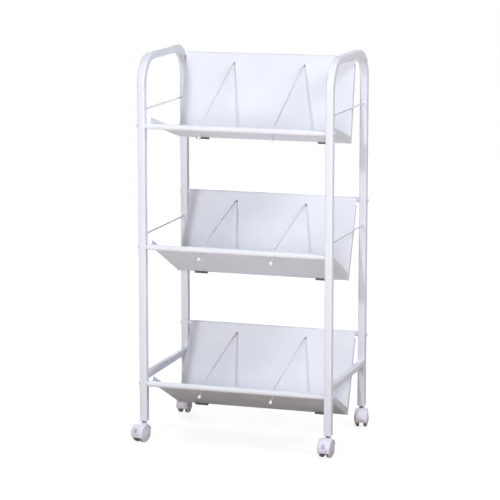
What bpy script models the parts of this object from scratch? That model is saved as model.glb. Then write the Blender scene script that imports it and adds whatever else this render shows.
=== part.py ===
"""File trolley: two bent tube side frames, three tilted file troughs and four twin-wheel casters.

Metres, +Z up. The front faces -Y, and +X is on the right of someone who faces the front. The
origin lies on the floor under the middle of the whole object.
"""

import math

import bmesh
import bpy
from mathutils import Matrix, Vector

# Fits
GAP = 0.0003

# Side frames
POST_SPACING_X = 0.473
POST_SPACING_Y = 0.310
FRAME_HEIGHT = 0.962
TUBE = 0.019
TUBE_CORNER = 0.0035
TUBE_WALL = 0.0012
BEND_RADIUS = 0.070
STRETCHER = 0.016
STRETCHER_CORNER = 0.003
STRETCHER_RISE = 0.018
GUARD_WIRE = 0.004
UPPER_GUARD_RISE = 0.039
MIDDLE_GUARD_RISE = 0.0295

# Troughs
SHEET = 0.001
RAIL = 0.0127
RAIL_WALL = 0.0012
RAIL_PLUG = 0.014
ROLL_BITE = 0.0004
ROLL_TURN = math.radians(215)
TILT = math.radians(25.7)
BACK_HEIGHT = 0.210
FLOOR_SIDE_GAP = 0.004
BACK_SIDE_GAP = 0.009
FLOOR_FLANGE = 0.017
BACK_FLANGE = 0.012
FLANGE_SETBACK = 0.018
MIDDLE_RAIL_HEIGHT = 0.488
LOWER_RAIL_HEIGHT = 0.145
UPPER_RAIL_BEND_ANGLE = math.radians(48.3)

# Corner clips
CLIP_LENGTH = 0.034
CLIP_INSET = 0.064
CLIP_WALL = 0.0015
CLIP_TAB = 0.006
CLIP_TAB_INSET = 0.003

# Dividers
DIVIDER_WIRE = 0.004
DIVIDER_SPACING = 0.183
DIVIDER_TOP_DROP = 0.029
DIVIDER_RAIL_INSET = 0.018
DIVIDER_BEND = 0.008
DIVIDER_LEG = 0.004
DIVIDER_TAIL = 0.0145
DIVIDER_FOOT_BEND = 0.006
DIVIDER_FOOT_TURN = math.radians(43)
DIVIDER_FOOT = 0.0195
DIVIDER_CAP_WALL = 0.0015
DIVIDER_CAP_LENGTH = 0.008

# Bolts
BOLT = 0.006
BOLT_GRIP = 0.011
BOLT_HEAD_RIM = 0.0025
BOLT_HEAD_HEIGHT = 0.0032

# Casters
WHEEL = 0.044
WHEEL_WIDTH = 0.0095
WHEEL_PLAY = 0.0005
WHEEL_SHOULDER = 0.0035
WHEEL_COVER = 0.003
AXLE = 0.006
WEB = 0.010
TRAIL = 0.014
HOOD_PLAY = 0.001
HOOD_WALL = 0.002
HOOD_SIDE_LIP = 0.0015
HOOD_FRONT_EDGE = 0.011
HOOD_REAR_RISE = 0.008
HOOD_CROWN = 0.001
BOSS_WALL = 0.0035
STEM = 0.008
STEM_SEAT = 0.012
COLLAR_RIM = 0.0012
COLLAR_HEIGHT = 0.0022
STEM_LENGTH = 0.034
SOCKET_FLANGE = 0.0015
SOCKET_LENGTH = 0.040
PEDAL_WIDTH = 0.016
PEDAL_THICKNESS = 0.0022
PEDAL_NECK = 0.006
PEDAL_NECK_REACH = 0.0005
PEDAL_LOW = math.radians(-14)
PEDAL_HIGH = math.radians(40)
NECK_LOW = math.radians(4)
NECK_HIGH = math.radians(20)
PEDAL_LIFT = math.radians(20)
PEDAL_SLACK = math.radians(1.5)
CASTER_YAW = {
    ("front", "left"): math.radians(-14),
    ("front", "right"): math.radians(-3),
    ("rear", "left"): math.radians(4),
    ("rear", "right"): math.radians(14),
}

# Facets
BEND_STEPS = 7
ROLL_STEPS = 7
ROUND = 16
SMALL_ROUND = 10
WHEEL_ROUND = 18
HOOD_ROUND = 26

SIDES = {"left": -1, "right": 1}
ENDS = {"front": -1, "rear": 1}

# Sizes that follow
WHEEL_RADIUS = WHEEL / 2
WELL_RADIUS = WHEEL_RADIUS + HOOD_PLAY
HOOD_RADIUS = WELL_RADIUS + HOOD_WALL
HOOD_WIDTH = WEB + 2 * (WHEEL_PLAY + WHEEL_WIDTH + HOOD_SIDE_LIP)
HOOD_TOP = WHEEL_RADIUS + HOOD_RADIUS + HOOD_CROWN
COLLAR_TOP = HOOD_TOP + GAP + COLLAR_HEIGHT
SOCKET_BOTTOM = COLLAR_TOP + GAP
POST_END = SOCKET_BOTTOM + SOCKET_FLANGE + GAP
PEDAL_RADIUS = HOOD_RADIUS + GAP + PEDAL_THICKNESS
HALF_X = POST_SPACING_X / 2
HALF_Y = POST_SPACING_Y / 2
FRAME_SHIFT = (TRAIL + PEDAL_RADIUS - TUBE / 2) / 2
BEND_START = FRAME_HEIGHT - TUBE / 2 - BEND_RADIUS
ROLL = RAIL / 2 - ROLL_BITE + SHEET
RAIL_LENGTH = POST_SPACING_X - TUBE - 2 * GAP
FLOOR_WIDTH = POST_SPACING_X - TUBE - 2 * FLOOR_SIDE_GAP
BACK_WIDTH = POST_SPACING_X - TUBE - 2 * BACK_SIDE_GAP
BACK_REACH = BACK_HEIGHT + ROLL
FLOOR_REACH = (POST_SPACING_Y - BACK_REACH * math.sin(TILT)) / math.cos(TILT)
FLOOR_DEPTH = FLOOR_REACH - ROLL - GAP
CHORD = math.hypot(FLOOR_REACH, BACK_REACH)
CLIP_OFFSET = FLOOR_WIDTH / 2 - CLIP_INSET
DIVIDER_HOLE_Y = DIVIDER_RAIL_INSET - FLOOR_DEPTH
DIVIDER_HOLE_Z = BACK_HEIGHT + ROLL - DIVIDER_TOP_DROP


def trough_place(front, rear):
    """Corner (y, z) and tilt of the trough whose rail axes lie at front and rear, both (y, z)."""
    run = rear[0] - front[0]
    rise = rear[1] - front[1]
    tilt = math.atan2(BACK_REACH, FLOOR_REACH) - math.atan2(rise, run)
    corner_y = front[0] + FLOOR_DEPTH * math.cos(tilt) + ROLL * math.sin(tilt)
    corner_z = front[1] - FLOOR_DEPTH * math.sin(tilt) + ROLL * math.cos(tilt)
    return {"corner": (corner_y, corner_z), "tilt": tilt, "front": front, "rear": rear}


def trough_on_posts(height):
    """A trough with its front rail at this height and its rear rail on the straight rear posts."""
    rise = math.sqrt(CHORD**2 - POST_SPACING_Y**2)
    return trough_place((-HALF_Y, height), (HALF_Y, height + rise))


def trough_on_bends():
    """The upper trough, with its rear rail part of the way round the rear bends of the frames."""
    rear_y = HALF_Y - BEND_RADIUS * (1 - math.cos(UPPER_RAIL_BEND_ANGLE))
    rear_z = BEND_START + BEND_RADIUS * math.sin(UPPER_RAIL_BEND_ANGLE)
    rise = math.sqrt(CHORD**2 - (rear_y + HALF_Y) ** 2)
    return trough_place((-HALF_Y, rear_z - rise), (rear_y, rear_z))


TROUGHS = {
    "upper": trough_on_bends(),
    "middle": trough_on_posts(MIDDLE_RAIL_HEIGHT),
    "lower": trough_on_posts(LOWER_RAIL_HEIGHT),
}


class Sweep:
    """A closed section that is run along straights and bends into one solid."""

    def __init__(self, place=Matrix()):
        self.bm = bmesh.new()
        self.place = place
        self.edges = []

    def start(self):
        bmesh.ops.transform(self.bm, matrix=self.place, verts=self.bm.verts)
        self.edges = list(self.bm.edges)
        return self

    def square(self, size, corner):
        made = bmesh.ops.create_grid(self.bm, x_segments=1, y_segments=1, size=size / 2)
        bmesh.ops.bevel(
            self.bm, geom=made["verts"], offset=corner, segments=2, profile=0.5, affect="VERTICES"
        )
        return self.start()

    def circle(self, radius, segments):
        bmesh.ops.create_circle(self.bm, cap_ends=True, segments=segments, radius=radius)
        return self.start()

    def rectangle(self, low, high):
        corners = ((low[0], low[1]), (high[0], low[1]), (high[0], high[1]), (low[0], high[1]))
        self.bm.faces.new([self.bm.verts.new((x, y, 0)) for x, y in corners])
        return self.start()

    def straight(self, vector):
        made = bmesh.ops.extrude_edge_only(self.bm, edges=self.edges)["geom"]
        verts = [item for item in made if isinstance(item, bmesh.types.BMVert)]
        self.follow(made, verts)
        bmesh.ops.translate(self.bm, vec=vector, verts=verts)
        return self

    def bend(self, centre, axis, angle, steps):
        made = bmesh.ops.spin(
            self.bm, geom=self.edges, cent=centre, axis=axis, angle=angle, steps=steps, use_duplicate=False
        )["geom_last"]
        self.follow(made, [item for item in made if isinstance(item, bmesh.types.BMVert)])
        return self

    def widen(self, factor, centre):
        self.straight((0, 0, 0))
        verts = list({vert for edge in self.edges for vert in edge.verts})
        space = Matrix.Translation(-Vector(centre))
        bmesh.ops.scale(self.bm, vec=(factor, factor, factor), space=space, verts=verts)
        return self

    def follow(self, made, verts):
        new = set(verts)
        edges = [item for item in made if isinstance(item, bmesh.types.BMEdge)]
        self.edges = [edge for edge in edges if set(edge.verts) <= new]

    def mesh(self, name):
        bmesh.ops.holes_fill(self.bm, edges=self.edges)
        return finished(self.bm, name)


def finished(bm, name):
    """Mesh of a closed bmesh, its faces turned outwards."""
    bmesh.ops.recalc_face_normals(bm, faces=bm.faces)
    mesh = bpy.data.meshes.new(name)
    bm.to_mesh(mesh)
    bm.free()
    return mesh


def turned(name, profile, segments, ring=False):
    """Solid of revolution about Z from (z, radius) points; a ring's profile closes on itself."""
    bm = bmesh.new()
    verts = [bm.verts.new((radius, 0, z)) for z, radius in profile]
    following = verts[1:] + verts[:1] if ring else verts[1:]
    edges = [bm.edges.new(pair) for pair in zip(verts, following)]
    bmesh.ops.spin(
        bm, geom=verts + edges, cent=(0, 0, 0), axis=(0, 0, 1), angle=math.tau, steps=segments, use_merge=True
    )
    bmesh.ops.remove_doubles(bm, verts=bm.verts, dist=1e-6)
    return finished(bm, name)


def rod(radius, start, end, segments):
    """Plain round bar from one point to another."""
    run = Vector(end) - Vector(start)
    place = Matrix.Translation(start) @ run.to_track_quat("Z", "Y").to_matrix().to_4x4()
    return Sweep(place).circle(radius, segments).straight(run).mesh("rod")


def box(low, high):
    """Box between two corners."""
    place = Matrix.Translation((0, 0, low[2]))
    return Sweep(place).rectangle(low, high).straight((0, 0, high[2] - low[2])).mesh("box")


def sector(half_width, inner, outer, low, high, steps):
    """Curved plate about the X axis between two angles above the -Y direction."""
    place = Matrix.Rotation(-low, 4, "X") @ Matrix.Rotation(math.pi, 4, "Z")
    sweep = Sweep(place).rectangle((-half_width, inner), (half_width, outer))
    return sweep.bend((0, 0, 0), (-1, 0, 0), high - low, steps).mesh("sector")


def combined(base, tools, operation):
    """Mesh of base after it is joined with or cut by each tool mesh in turn."""
    scene = bpy.context.scene.collection.objects
    work = [bpy.data.objects.new("work", mesh) for mesh in [base, *tools]]
    for item in work:
        scene.link(item)
    for tool in work[1:]:
        modifier = work[0].modifiers.new("join", "BOOLEAN")
        modifier.operation = operation
        modifier.solver = "EXACT"
        modifier.object = tool
    graph = bpy.context.evaluated_depsgraph_get()
    result = bpy.data.meshes.new_from_object(work[0].evaluated_get(graph))
    result.name = base.name
    for item in work:
        bpy.data.objects.remove(item)
    return result


def joined(base, *tools):
    return combined(base, tools, "UNION")


def cut(base, *tools):
    return combined(base, tools, "DIFFERENCE")


def moved(mesh, matrix):
    mesh.transform(matrix)
    return mesh


ALONG_X = Matrix.Rotation(math.pi / 2, 4, "Y")
ALONG_Y = Matrix.Rotation(-math.pi / 2, 4, "X")


def frame_bar(size, corner, below):
    """Solid inverted U that follows the side frame, from below the post ends."""
    low = POST_END - below
    sweep = Sweep(Matrix.Translation((0, -HALF_Y, low))).square(size, corner)
    sweep.straight((0, 0, BEND_START - low))
    sweep.bend((0, BEND_RADIUS - HALF_Y, BEND_START), (-1, 0, 0), math.pi / 2, BEND_STEPS)
    sweep.straight((0, POST_SPACING_Y - 2 * BEND_RADIUS, 0))
    sweep.bend((0, HALF_Y - BEND_RADIUS, BEND_START), (-1, 0, 0), math.pi / 2, BEND_STEPS)
    sweep.straight((0, 0, low - BEND_START))
    return sweep.mesh("side_frame")


def cross_bar(size, corner, height):
    """Solid square bar from post centre to post centre."""
    place = Matrix.Translation((0, -HALF_Y, height)) @ ALONG_Y
    return Sweep(place).square(size, corner).straight((0, POST_SPACING_Y, 0)).mesh("cross_bar")


def side_frame_mesh():
    """Bent tube with its stretcher and guard wires welded in and its bolt holes drilled."""
    stretcher_height = TROUGHS["lower"]["front"][1] + STRETCHER_RISE
    upper_guard = TROUGHS["upper"]["front"][1] + UPPER_GUARD_RISE
    middle_guard = TROUGHS["middle"]["front"][1] + MIDDLE_GUARD_RISE
    wires = [
        rod(GUARD_WIRE / 2, (0, -HALF_Y, height), (0, HALF_Y, height), SMALL_ROUND)
        for height in (upper_guard, middle_guard)
    ]
    solid = joined(
        frame_bar(TUBE, TUBE_CORNER, 0), cross_bar(STRETCHER, STRETCHER_CORNER, stretcher_height), *wires
    )
    bore = frame_bar(TUBE - 2 * TUBE_WALL, TUBE_CORNER - TUBE_WALL, TUBE_WALL)
    stretcher_bore = cross_bar(
        STRETCHER - 2 * TUBE_WALL, STRETCHER_CORNER - TUBE_WALL, stretcher_height
    )
    holes = [
        rod(BOLT / 2 + GAP, (-TUBE, y, z), (TUBE, y, z), SMALL_ROUND)
        for trough in TROUGHS.values()
        for y, z in (trough["front"], trough["rear"])
    ]
    return cut(solid, bore, stretcher_bore, *holes)


def rail_mesh(y, z):
    """Rail tube along X with a plug in each end, bored for the bolts."""
    half = RAIL_LENGTH / 2
    inside = half - RAIL_PLUG
    hole = BOLT / 2 + GAP
    bore = RAIL / 2 - RAIL_WALL
    profile = [
        (-half, hole), (-half, RAIL / 2), (half, RAIL / 2), (half, hole),
        (inside, hole), (inside, bore), (-inside, bore), (-inside, hole),
    ]
    rail = turned("rail", profile, ROUND, ring=True)
    return moved(rail, Matrix.Translation((0, y, z)) @ ALONG_X)


def roll_points(y, z, start, turn):
    """Points of the rolled edge round a rail axis at (y, z)."""
    angles = [start + turn * step / ROLL_STEPS for step in range(ROLL_STEPS + 1)]
    return [(y + ROLL * math.cos(angle), z + ROLL * math.sin(angle)) for angle in angles]


def sheet_mesh(name, width, profile, inward, flange, tab):
    """Folded sheet: a (y, z) profile run along X, with end flanges and two clip tabs.

    The flange is (first row, last row, vector) and the tab is a vector from the first row.
    """
    tab_half = CLIP_LENGTH / 2 - CLIP_TAB_INSET
    stops = [-width / 2]
    for side in (-1, 1):
        stops += [side * CLIP_OFFSET - tab_half, side * CLIP_OFFSET + tab_half]
    stops.append(width / 2)
    bm = bmesh.new()
    rows = [[bm.verts.new((stops[0], y, z)) for y, z in profile]]
    edges = [bm.edges.new(pair) for pair in zip(rows[0], rows[0][1:])]
    for here, there in zip(stops, stops[1:]):
        made = bmesh.ops.extrude_edge_only(bm, edges=edges)["geom"]
        verts = [item for item in made if isinstance(item, bmesh.types.BMVert)]
        bmesh.ops.translate(bm, vec=(there - here, 0, 0), verts=verts)
        new = set(verts)
        edges = [item for item in made if isinstance(item, bmesh.types.BMEdge) and set(item.verts) <= new]

    def edges_on(test):
        rim = [edge for edge in bm.edges if edge.is_boundary]
        return [edge for edge in rim if all(test(vert.co) for vert in edge.verts)]

    def fold(group, vector):
        made = bmesh.ops.extrude_edge_only(bm, edges=group)["geom"]
        verts = [item for item in made if isinstance(item, bmesh.types.BMVert)]
        bmesh.ops.translate(bm, vec=vector, verts=verts)

    first, last, vector = flange
    ends = [profile[first], profile[last]]
    low_y, high_y = sorted(point[0] for point in ends)
    low_z, high_z = sorted(point[1] for point in ends)
    slack = GAP / 10
    for stop in (stops[0], stops[-1]):
        group = edges_on(
            lambda co: abs(co.x - stop) < slack
            and low_y - slack < co.y < high_y + slack
            and low_z - slack < co.z < high_z + slack
        )
        fold(group, vector)
    for low_x, high_x in (stops[1:3], stops[3:5]):
        group = edges_on(
            lambda co: low_x - slack < co.x < high_x + slack
            and abs(co.y - profile[0][0]) < slack
            and abs(co.z - profile[0][1]) < slack
        )
        fold(group, tab)
    bmesh.ops.recalc_face_normals(bm, faces=bm.faces)
    largest = max(bm.faces, key=lambda face: face.calc_area())
    if largest.normal.dot(inward) < 0:
        bmesh.ops.reverse_faces(bm, faces=bm.faces)
    mesh = bpy.data.meshes.new(name)
    bm.to_mesh(mesh)
    bm.free()
    return thickened(mesh)


def thickened(mesh):
    """Mesh of the surface given the sheet's thickness, away from its front side."""
    item = bpy.data.objects.new("work", mesh)
    bpy.context.scene.collection.objects.link(item)
    modifier = item.modifiers.new("thickness", "SOLIDIFY")
    modifier.thickness = SHEET
    modifier.offset = -1
    modifier.use_even_offset = True
    graph = bpy.context.evaluated_depsgraph_get()
    result = bpy.data.meshes.new_from_object(item.evaluated_get(graph))
    result.name = mesh.name
    bpy.data.objects.remove(item)
    return result


def floor_mesh():
    """Shelf floor with its front edge rolled over the front rail and its ends turned up."""
    front = FLANGE_SETBACK - FLOOR_DEPTH
    profile = [(0, 0), (-SHEET, 0), (front, 0), (front - SHEET, 0)]
    profile += roll_points(-FLOOR_DEPTH, -ROLL, math.pi / 2, ROLL_TURN)
    sheet = sheet_mesh(
        "shelf_floor", FLOOR_WIDTH - 2 * SHEET, profile, Vector((0, 0, 1)),
        (1, 2, (0, 0, FLOOR_FLANGE)), (0, 0, -CLIP_TAB),
    )
    hole = DIVIDER_WIRE / 2 + GAP
    holes = [
        rod(hole, (x, DIVIDER_HOLE_Y, -2 * SHEET), (x, DIVIDER_HOLE_Y, SHEET), SMALL_ROUND)
        for x in (-DIVIDER_SPACING / 2, DIVIDER_SPACING / 2)
    ]
    return cut(joined(sheet, rail_mesh(-FLOOR_DEPTH, -ROLL)), *holes)


def back_mesh():
    """Back panel with its top edge rolled over the rear rail and its ends folded back."""
    top = BACK_HEIGHT - 2 * ROLL
    profile = [(GAP, -SHEET), (GAP, 0), (GAP, top), (GAP, top + SHEET)]
    profile += roll_points(GAP + ROLL, BACK_HEIGHT, math.pi, -ROLL_TURN)
    sheet = sheet_mesh(
        "back_panel", BACK_WIDTH, profile, Vector((0, -1, 0)),
        (1, 2, (0, BACK_FLANGE, 0)), (0, 0, SHEET - CLIP_TAB),
    )
    hole = DIVIDER_WIRE / 2 + GAP
    holes = [
        rod(hole, (x, -SHEET, DIVIDER_HOLE_Z), (x, 3 * SHEET, DIVIDER_HOLE_Z), SMALL_ROUND)
        for x in (-DIVIDER_SPACING / 2, DIVIDER_SPACING / 2)
    ]
    return cut(joined(sheet, rail_mesh(GAP + ROLL, BACK_HEIGHT)), *holes)


def clip_mesh():
    """Channel pushed from below over the tabs of a floor and its back panel."""
    half = CLIP_LENGTH / 2
    front = -SHEET - GAP
    rear = 2 * GAP + SHEET
    bottom = -CLIP_TAB - GAP
    top = -SHEET - GAP
    body = box((-half, front - CLIP_WALL, bottom - CLIP_WALL), (half, rear + CLIP_WALL, top))
    slot = box((-CLIP_LENGTH, front, bottom), (CLIP_LENGTH, rear, SHEET))
    body = cut(body, slot)
    body.name = "corner_clip"
    return body


def divider_mesh():
    """Wire from the back panel's hole down through the floor, turned forwards below it.

    Both ends carry a cap.
    """
    radius = DIVIDER_WIRE / 2
    flare = 1 + DIVIDER_CAP_WALL / radius
    behind = 3 * GAP + SHEET
    start = (0, behind + DIVIDER_CAP_LENGTH, DIVIDER_HOLE_Z)
    first = Vector((0, -DIVIDER_LEG, DIVIDER_HOLE_Z - DIVIDER_BEND))
    second = Vector((0, DIVIDER_HOLE_Y + DIVIDER_BEND, DIVIDER_LEG))
    run = second - first
    slope = math.atan2(-run.z, -run.y)
    shoulder = (0, behind, DIVIDER_HOLE_Z)
    knee = Vector((0, DIVIDER_HOLE_Y - DIVIDER_FOOT_BEND, -DIVIDER_TAIL))
    down = Vector((0, -math.sin(DIVIDER_FOOT_TURN), -math.cos(DIVIDER_FOOT_TURN)))
    across = Vector((0, -down.z, down.y))
    cap = knee + DIVIDER_FOOT_BEND * across + (DIVIDER_FOOT - DIVIDER_CAP_LENGTH) * down
    sweep = Sweep(Matrix.Translation(start) @ ALONG_Y).circle(radius * flare, SMALL_ROUND)
    sweep.straight((0, -DIVIDER_CAP_LENGTH, 0))
    sweep.widen(1 / flare, shoulder)
    sweep.straight((0, -DIVIDER_LEG - behind, 0))
    sweep.bend(first, (1, 0, 0), slope, 2)
    sweep.straight(run)
    sweep.bend(second, (1, 0, 0), math.pi / 2 - slope, 2)
    sweep.straight((0, 0, -DIVIDER_LEG - DIVIDER_TAIL))
    sweep.bend(knee, (-1, 0, 0), DIVIDER_FOOT_TURN, 2)
    sweep.straight((DIVIDER_FOOT - DIVIDER_CAP_LENGTH) * down)
    sweep.widen(flare, cap)
    sweep.straight(DIVIDER_CAP_LENGTH * down)
    return sweep.mesh("divider")


def bolt_mesh():
    """Round-headed bolt along +Z, its head seated at the origin and its shank below."""
    radius = BOLT / 2
    rim = radius + BOLT_HEAD_RIM
    tip = -GAP - TUBE - GAP - BOLT_GRIP
    profile = [
        (tip, 0), (tip, radius), (0, radius), (0, rim),
        (BOLT_HEAD_HEIGHT / 2, rim), (BOLT_HEAD_HEIGHT, radius), (BOLT_HEAD_HEIGHT, 0),
    ]
    return turned("bolt", profile, SMALL_ROUND)


def socket_mesh():
    """Plastic insert in the end of a post, bored for the caster stem."""
    flange = Sweep(Matrix.Translation((0, 0, SOCKET_BOTTOM))).square(TUBE, TUBE_CORNER)
    flange = flange.straight((0, 0, SOCKET_FLANGE)).mesh("caster_socket")
    inside = TUBE - 2 * TUBE_WALL - 2 * GAP
    place = Matrix.Translation((0, 0, SOCKET_BOTTOM + SOCKET_FLANGE / 2))
    body = Sweep(place).square(inside, TUBE_CORNER - TUBE_WALL)
    body = body.straight((0, 0, SOCKET_LENGTH)).mesh("body")
    top = SOCKET_BOTTOM + SOCKET_LENGTH + SOCKET_FLANGE
    bore = rod(STEM / 2 + GAP, (0, 0, SOCKET_BOTTOM - GAP), (0, 0, top), ROUND)
    return cut(joined(flange, body), bore)


def stem_mesh():
    """Caster stem with the collar that carries the post."""
    radius = STEM / 2
    collar = radius + COLLAR_RIM
    top = COLLAR_TOP + STEM_LENGTH
    profile = [
        (HOOD_TOP - STEM_SEAT, 0), (HOOD_TOP - STEM_SEAT, radius), (HOOD_TOP + GAP, radius),
        (HOOD_TOP + GAP, collar), (COLLAR_TOP, collar), (COLLAR_TOP, radius),
        (top - COLLAR_RIM, radius), (top, radius - COLLAR_RIM), (top, 0),
    ]
    return turned("caster_stem", profile, ROUND)


def hood_mesh(pedal):
    """Caster hood: a drum hollowed for both wheels round a middle web, with the stem boss."""
    half = HOOD_WIDTH / 2
    centre = Matrix.Translation((0, -TRAIL, WHEEL_RADIUS))
    rim = HOOD_SIDE_LIP / 2
    profile = [
        (-WEB / 2, 0), (-WEB / 2, WELL_RADIUS), (-half, WELL_RADIUS), (-half, HOOD_RADIUS - rim),
        (rim - half, HOOD_RADIUS), (half - rim, HOOD_RADIUS), (half, HOOD_RADIUS - rim),
        (half, WELL_RADIUS), (WEB / 2, WELL_RADIUS), (WEB / 2, 0),
    ]
    drum = moved(turned("caster_hood", profile, HOOD_ROUND), centre @ ALONG_X)
    boss = rod(STEM / 2 + BOSS_WALL, (0, 0, WHEEL_RADIUS), (0, 0, HOOD_TOP), ROUND)
    side = WEB / 2 - GAP
    wells = [
        rod(WELL_RADIUS + HOOD_WALL / 2, (sign * side, 0, 0), (sign * half, 0, 0), HOOD_ROUND)
        for sign in SIDES.values()
    ]
    wells = [moved(well, centre) for well in wells]
    boss = cut(boss, *wells)
    reach = HOOD_RADIUS + TRAIL
    below = box((-HOOD_WIDTH, -2 * reach, -reach), (HOOD_WIDTH, reach, HOOD_FRONT_EDGE))
    behind = box(
        (-HOOD_WIDTH, AXLE - TRAIL, -reach), (HOOD_WIDTH, reach, WHEEL_RADIUS + HOOD_REAR_RISE)
    )
    seat = rod(STEM / 2 + GAP, (0, 0, HOOD_TOP - STEM_SEAT - GAP), (0, 0, HOOD_TOP + GAP), ROUND)
    bore = moved(rod(AXLE / 2 + GAP, (-WEB, 0, 0), (WEB, 0, 0), ROUND), centre)
    tools = [below, behind, seat, bore]
    if pedal:
        slot = sector(
            PEDAL_NECK / 2 + GAP, WELL_RADIUS - PEDAL_NECK_REACH - GAP, HOOD_RADIUS + HOOD_WALL,
            NECK_LOW - PEDAL_SLACK, NECK_HIGH + PEDAL_LIFT + PEDAL_SLACK, 5,
        )
        tools.append(moved(slot, centre))
    return cut(joined(drum, boss), *tools)


def pedal_mesh():
    """Brake pedal about the axle, with the neck that runs in the hood's slot."""
    plate = sector(PEDAL_WIDTH / 2, HOOD_RADIUS + GAP, PEDAL_RADIUS, PEDAL_LOW, PEDAL_HIGH, 7)
    neck = sector(
        PEDAL_NECK / 2, WELL_RADIUS - PEDAL_NECK_REACH, HOOD_RADIUS + GAP + PEDAL_THICKNESS / 2,
        NECK_LOW, NECK_HIGH, 2,
    )
    plate.name = "brake_pedal"
    return joined(plate, neck)


def axle_mesh():
    """Wheel axle along X."""
    half = WEB / 2 + WHEEL_PLAY + WHEEL_WIDTH - WHEEL_COVER - GAP
    mesh = rod(AXLE / 2, (-half, 0, 0), (half, 0, 0), ROUND)
    mesh.name = "caster_axle"
    return mesh


def wheel_mesh():
    """Wheel along +X from its inner face, with a blind bore for the axle."""
    hole = AXLE / 2 + GAP
    cover = WHEEL_WIDTH - WHEEL_COVER
    third = WHEEL_SHOULDER / 3
    profile = [
        (cover, 0), (cover, hole), (0, hole), (0, WHEEL_RADIUS),
        (WHEEL_WIDTH - WHEEL_SHOULDER, WHEEL_RADIUS), (WHEEL_WIDTH - third, WHEEL_RADIUS - third),
        (WHEEL_WIDTH, WHEEL_RADIUS - WHEEL_SHOULDER), (WHEEL_WIDTH, 0),
    ]
    return moved(turned("caster_wheel", profile, WHEEL_ROUND), ALONG_X)


def finish(name, colour, roughness, metallic):
    """Plain material of one piece."""
    material = bpy.data.materials.new(name)
    material.use_nodes = True
    shader = material.node_tree.nodes["Principled BSDF"]
    shader.inputs["Base Color"].default_value = (*colour, 1)
    shader.inputs["Roughness"].default_value = roughness
    shader.inputs["Metallic"].default_value = metallic
    return material


def painted(mesh, material):
    """Gives a mesh its one material and smooth shading between sharp edges."""
    mesh.materials.clear()
    mesh.materials.append(material)
    mesh.shade_smooth()
    mesh.set_sharp_from_angle(angle=math.radians(35))
    return mesh


def placed(name, mesh, parent, location=(0, 0, 0), rotation=(0, 0, 0)):
    """Object in its parent's frame; with no mesh it is an empty."""
    item = bpy.data.objects.new(name, mesh)
    bpy.context.scene.collection.objects.link(item)
    item.parent = parent
    item.location = location
    item.rotation_euler = rotation
    return item


def add_trough(tier, trough, root, meshes):
    """Floor, back panel, clips, dividers and bolts of one trough."""
    y, z = trough["corner"]
    corner = placed(f"{tier}_trough", None, root, (0, y, z), (-trough["tilt"], 0, 0))
    placed(f"{tier}_shelf_floor", meshes["floor"], corner)
    placed(f"{tier}_back_panel", meshes["back"], corner)
    for side, sign in SIDES.items():
        placed(f"{tier}_{side}_corner_clip", meshes["clip"], corner, (sign * CLIP_OFFSET, 0, 0))
        placed(f"{tier}_{side}_divider", meshes["divider"], corner, (sign * DIVIDER_SPACING / 2, 0, 0))
        for end in ENDS:
            y, z = trough[end]
            head = HALF_X + TUBE / 2 + GAP
            turn = sign * math.pi / 2
            placed(f"{tier}_{end}_{side}_bolt", meshes["bolt"], root, (sign * head, y, z), (0, turn, 0))


def add_caster(end, side, root, meshes):
    """Socket, stem, hood, axle, wheels and, in front, the brake pedal of one caster."""
    spot = (SIDES[side] * HALF_X, ENDS[end] * HALF_Y, 0)
    placed(f"{end}_{side}_caster_socket", meshes["socket"], root, spot)
    swivel = placed(f"{end}_{side}_swivel", None, root, spot, (0, 0, CASTER_YAW[end, side]))
    placed(f"{end}_{side}_caster_stem", meshes["stem"], swivel)
    placed(f"{end}_{side}_caster_hood", meshes[f"{end}_hood"], swivel)
    centre = (0, -TRAIL, WHEEL_RADIUS)
    placed(f"{end}_{side}_caster_axle", meshes["axle"], swivel, centre)
    if end == "front":
        placed(f"{end}_{side}_brake_pedal", meshes["pedal"], swivel, centre)
    for hand, sign in SIDES.items():
        face = (sign * (WEB / 2 + WHEEL_PLAY), -TRAIL, WHEEL_RADIUS)
        turn = (0, 0, 0 if sign > 0 else math.pi)
        placed(f"{end}_{side}_caster_{hand}_wheel", meshes["wheel"], swivel, face, turn)


def main():
    for item in list(bpy.data.objects):
        bpy.data.objects.remove(item)
    coat = finish("white_powder_coat", (0.86, 0.87, 0.89), 0.35, 0)
    sheet = finish("white_coated_sheet", (0.87, 0.88, 0.90), 0.38, 0)
    wire = finish("white_coated_wire", (0.88, 0.89, 0.90), 0.35, 0)
    zinc = finish("coated_bolt", (0.78, 0.79, 0.81), 0.35, 0)
    steel = finish("dark_steel", (0.12, 0.12, 0.13), 0.4, 1)
    dark = finish("dark_plastic", (0.05, 0.05, 0.055), 0.55, 0)
    shell = finish("pale_plastic", (0.80, 0.80, 0.86), 0.4, 0)
    tread = finish("grey_plastic", (0.55, 0.55, 0.58), 0.5, 0)
    meshes = {
        "frame": painted(side_frame_mesh(), coat),
        "floor": painted(floor_mesh(), sheet),
        "back": painted(back_mesh(), sheet),
        "clip": painted(clip_mesh(), dark),
        "divider": painted(divider_mesh(), wire),
        "bolt": painted(bolt_mesh(), zinc),
        "socket": painted(socket_mesh(), shell),
        "stem": painted(stem_mesh(), steel),
        "front_hood": painted(hood_mesh(True), shell),
        "rear_hood": painted(hood_mesh(False), shell),
        "pedal": painted(pedal_mesh(), shell),
        "axle": painted(axle_mesh(), steel),
        "wheel": painted(wheel_mesh(), tread),
    }
    root = placed("trolley", None, None, (0, FRAME_SHIFT, 0))
    for side, sign in SIDES.items():
        placed(f"{side}_side_frame", meshes["frame"], root, (sign * HALF_X, 0, 0))
    for tier, trough in TROUGHS.items():
        add_trough(tier, trough, root, meshes)
    for end in ENDS:
        for side in SIDES:
            add_caster(end, side, root, meshes)


main()
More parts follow.
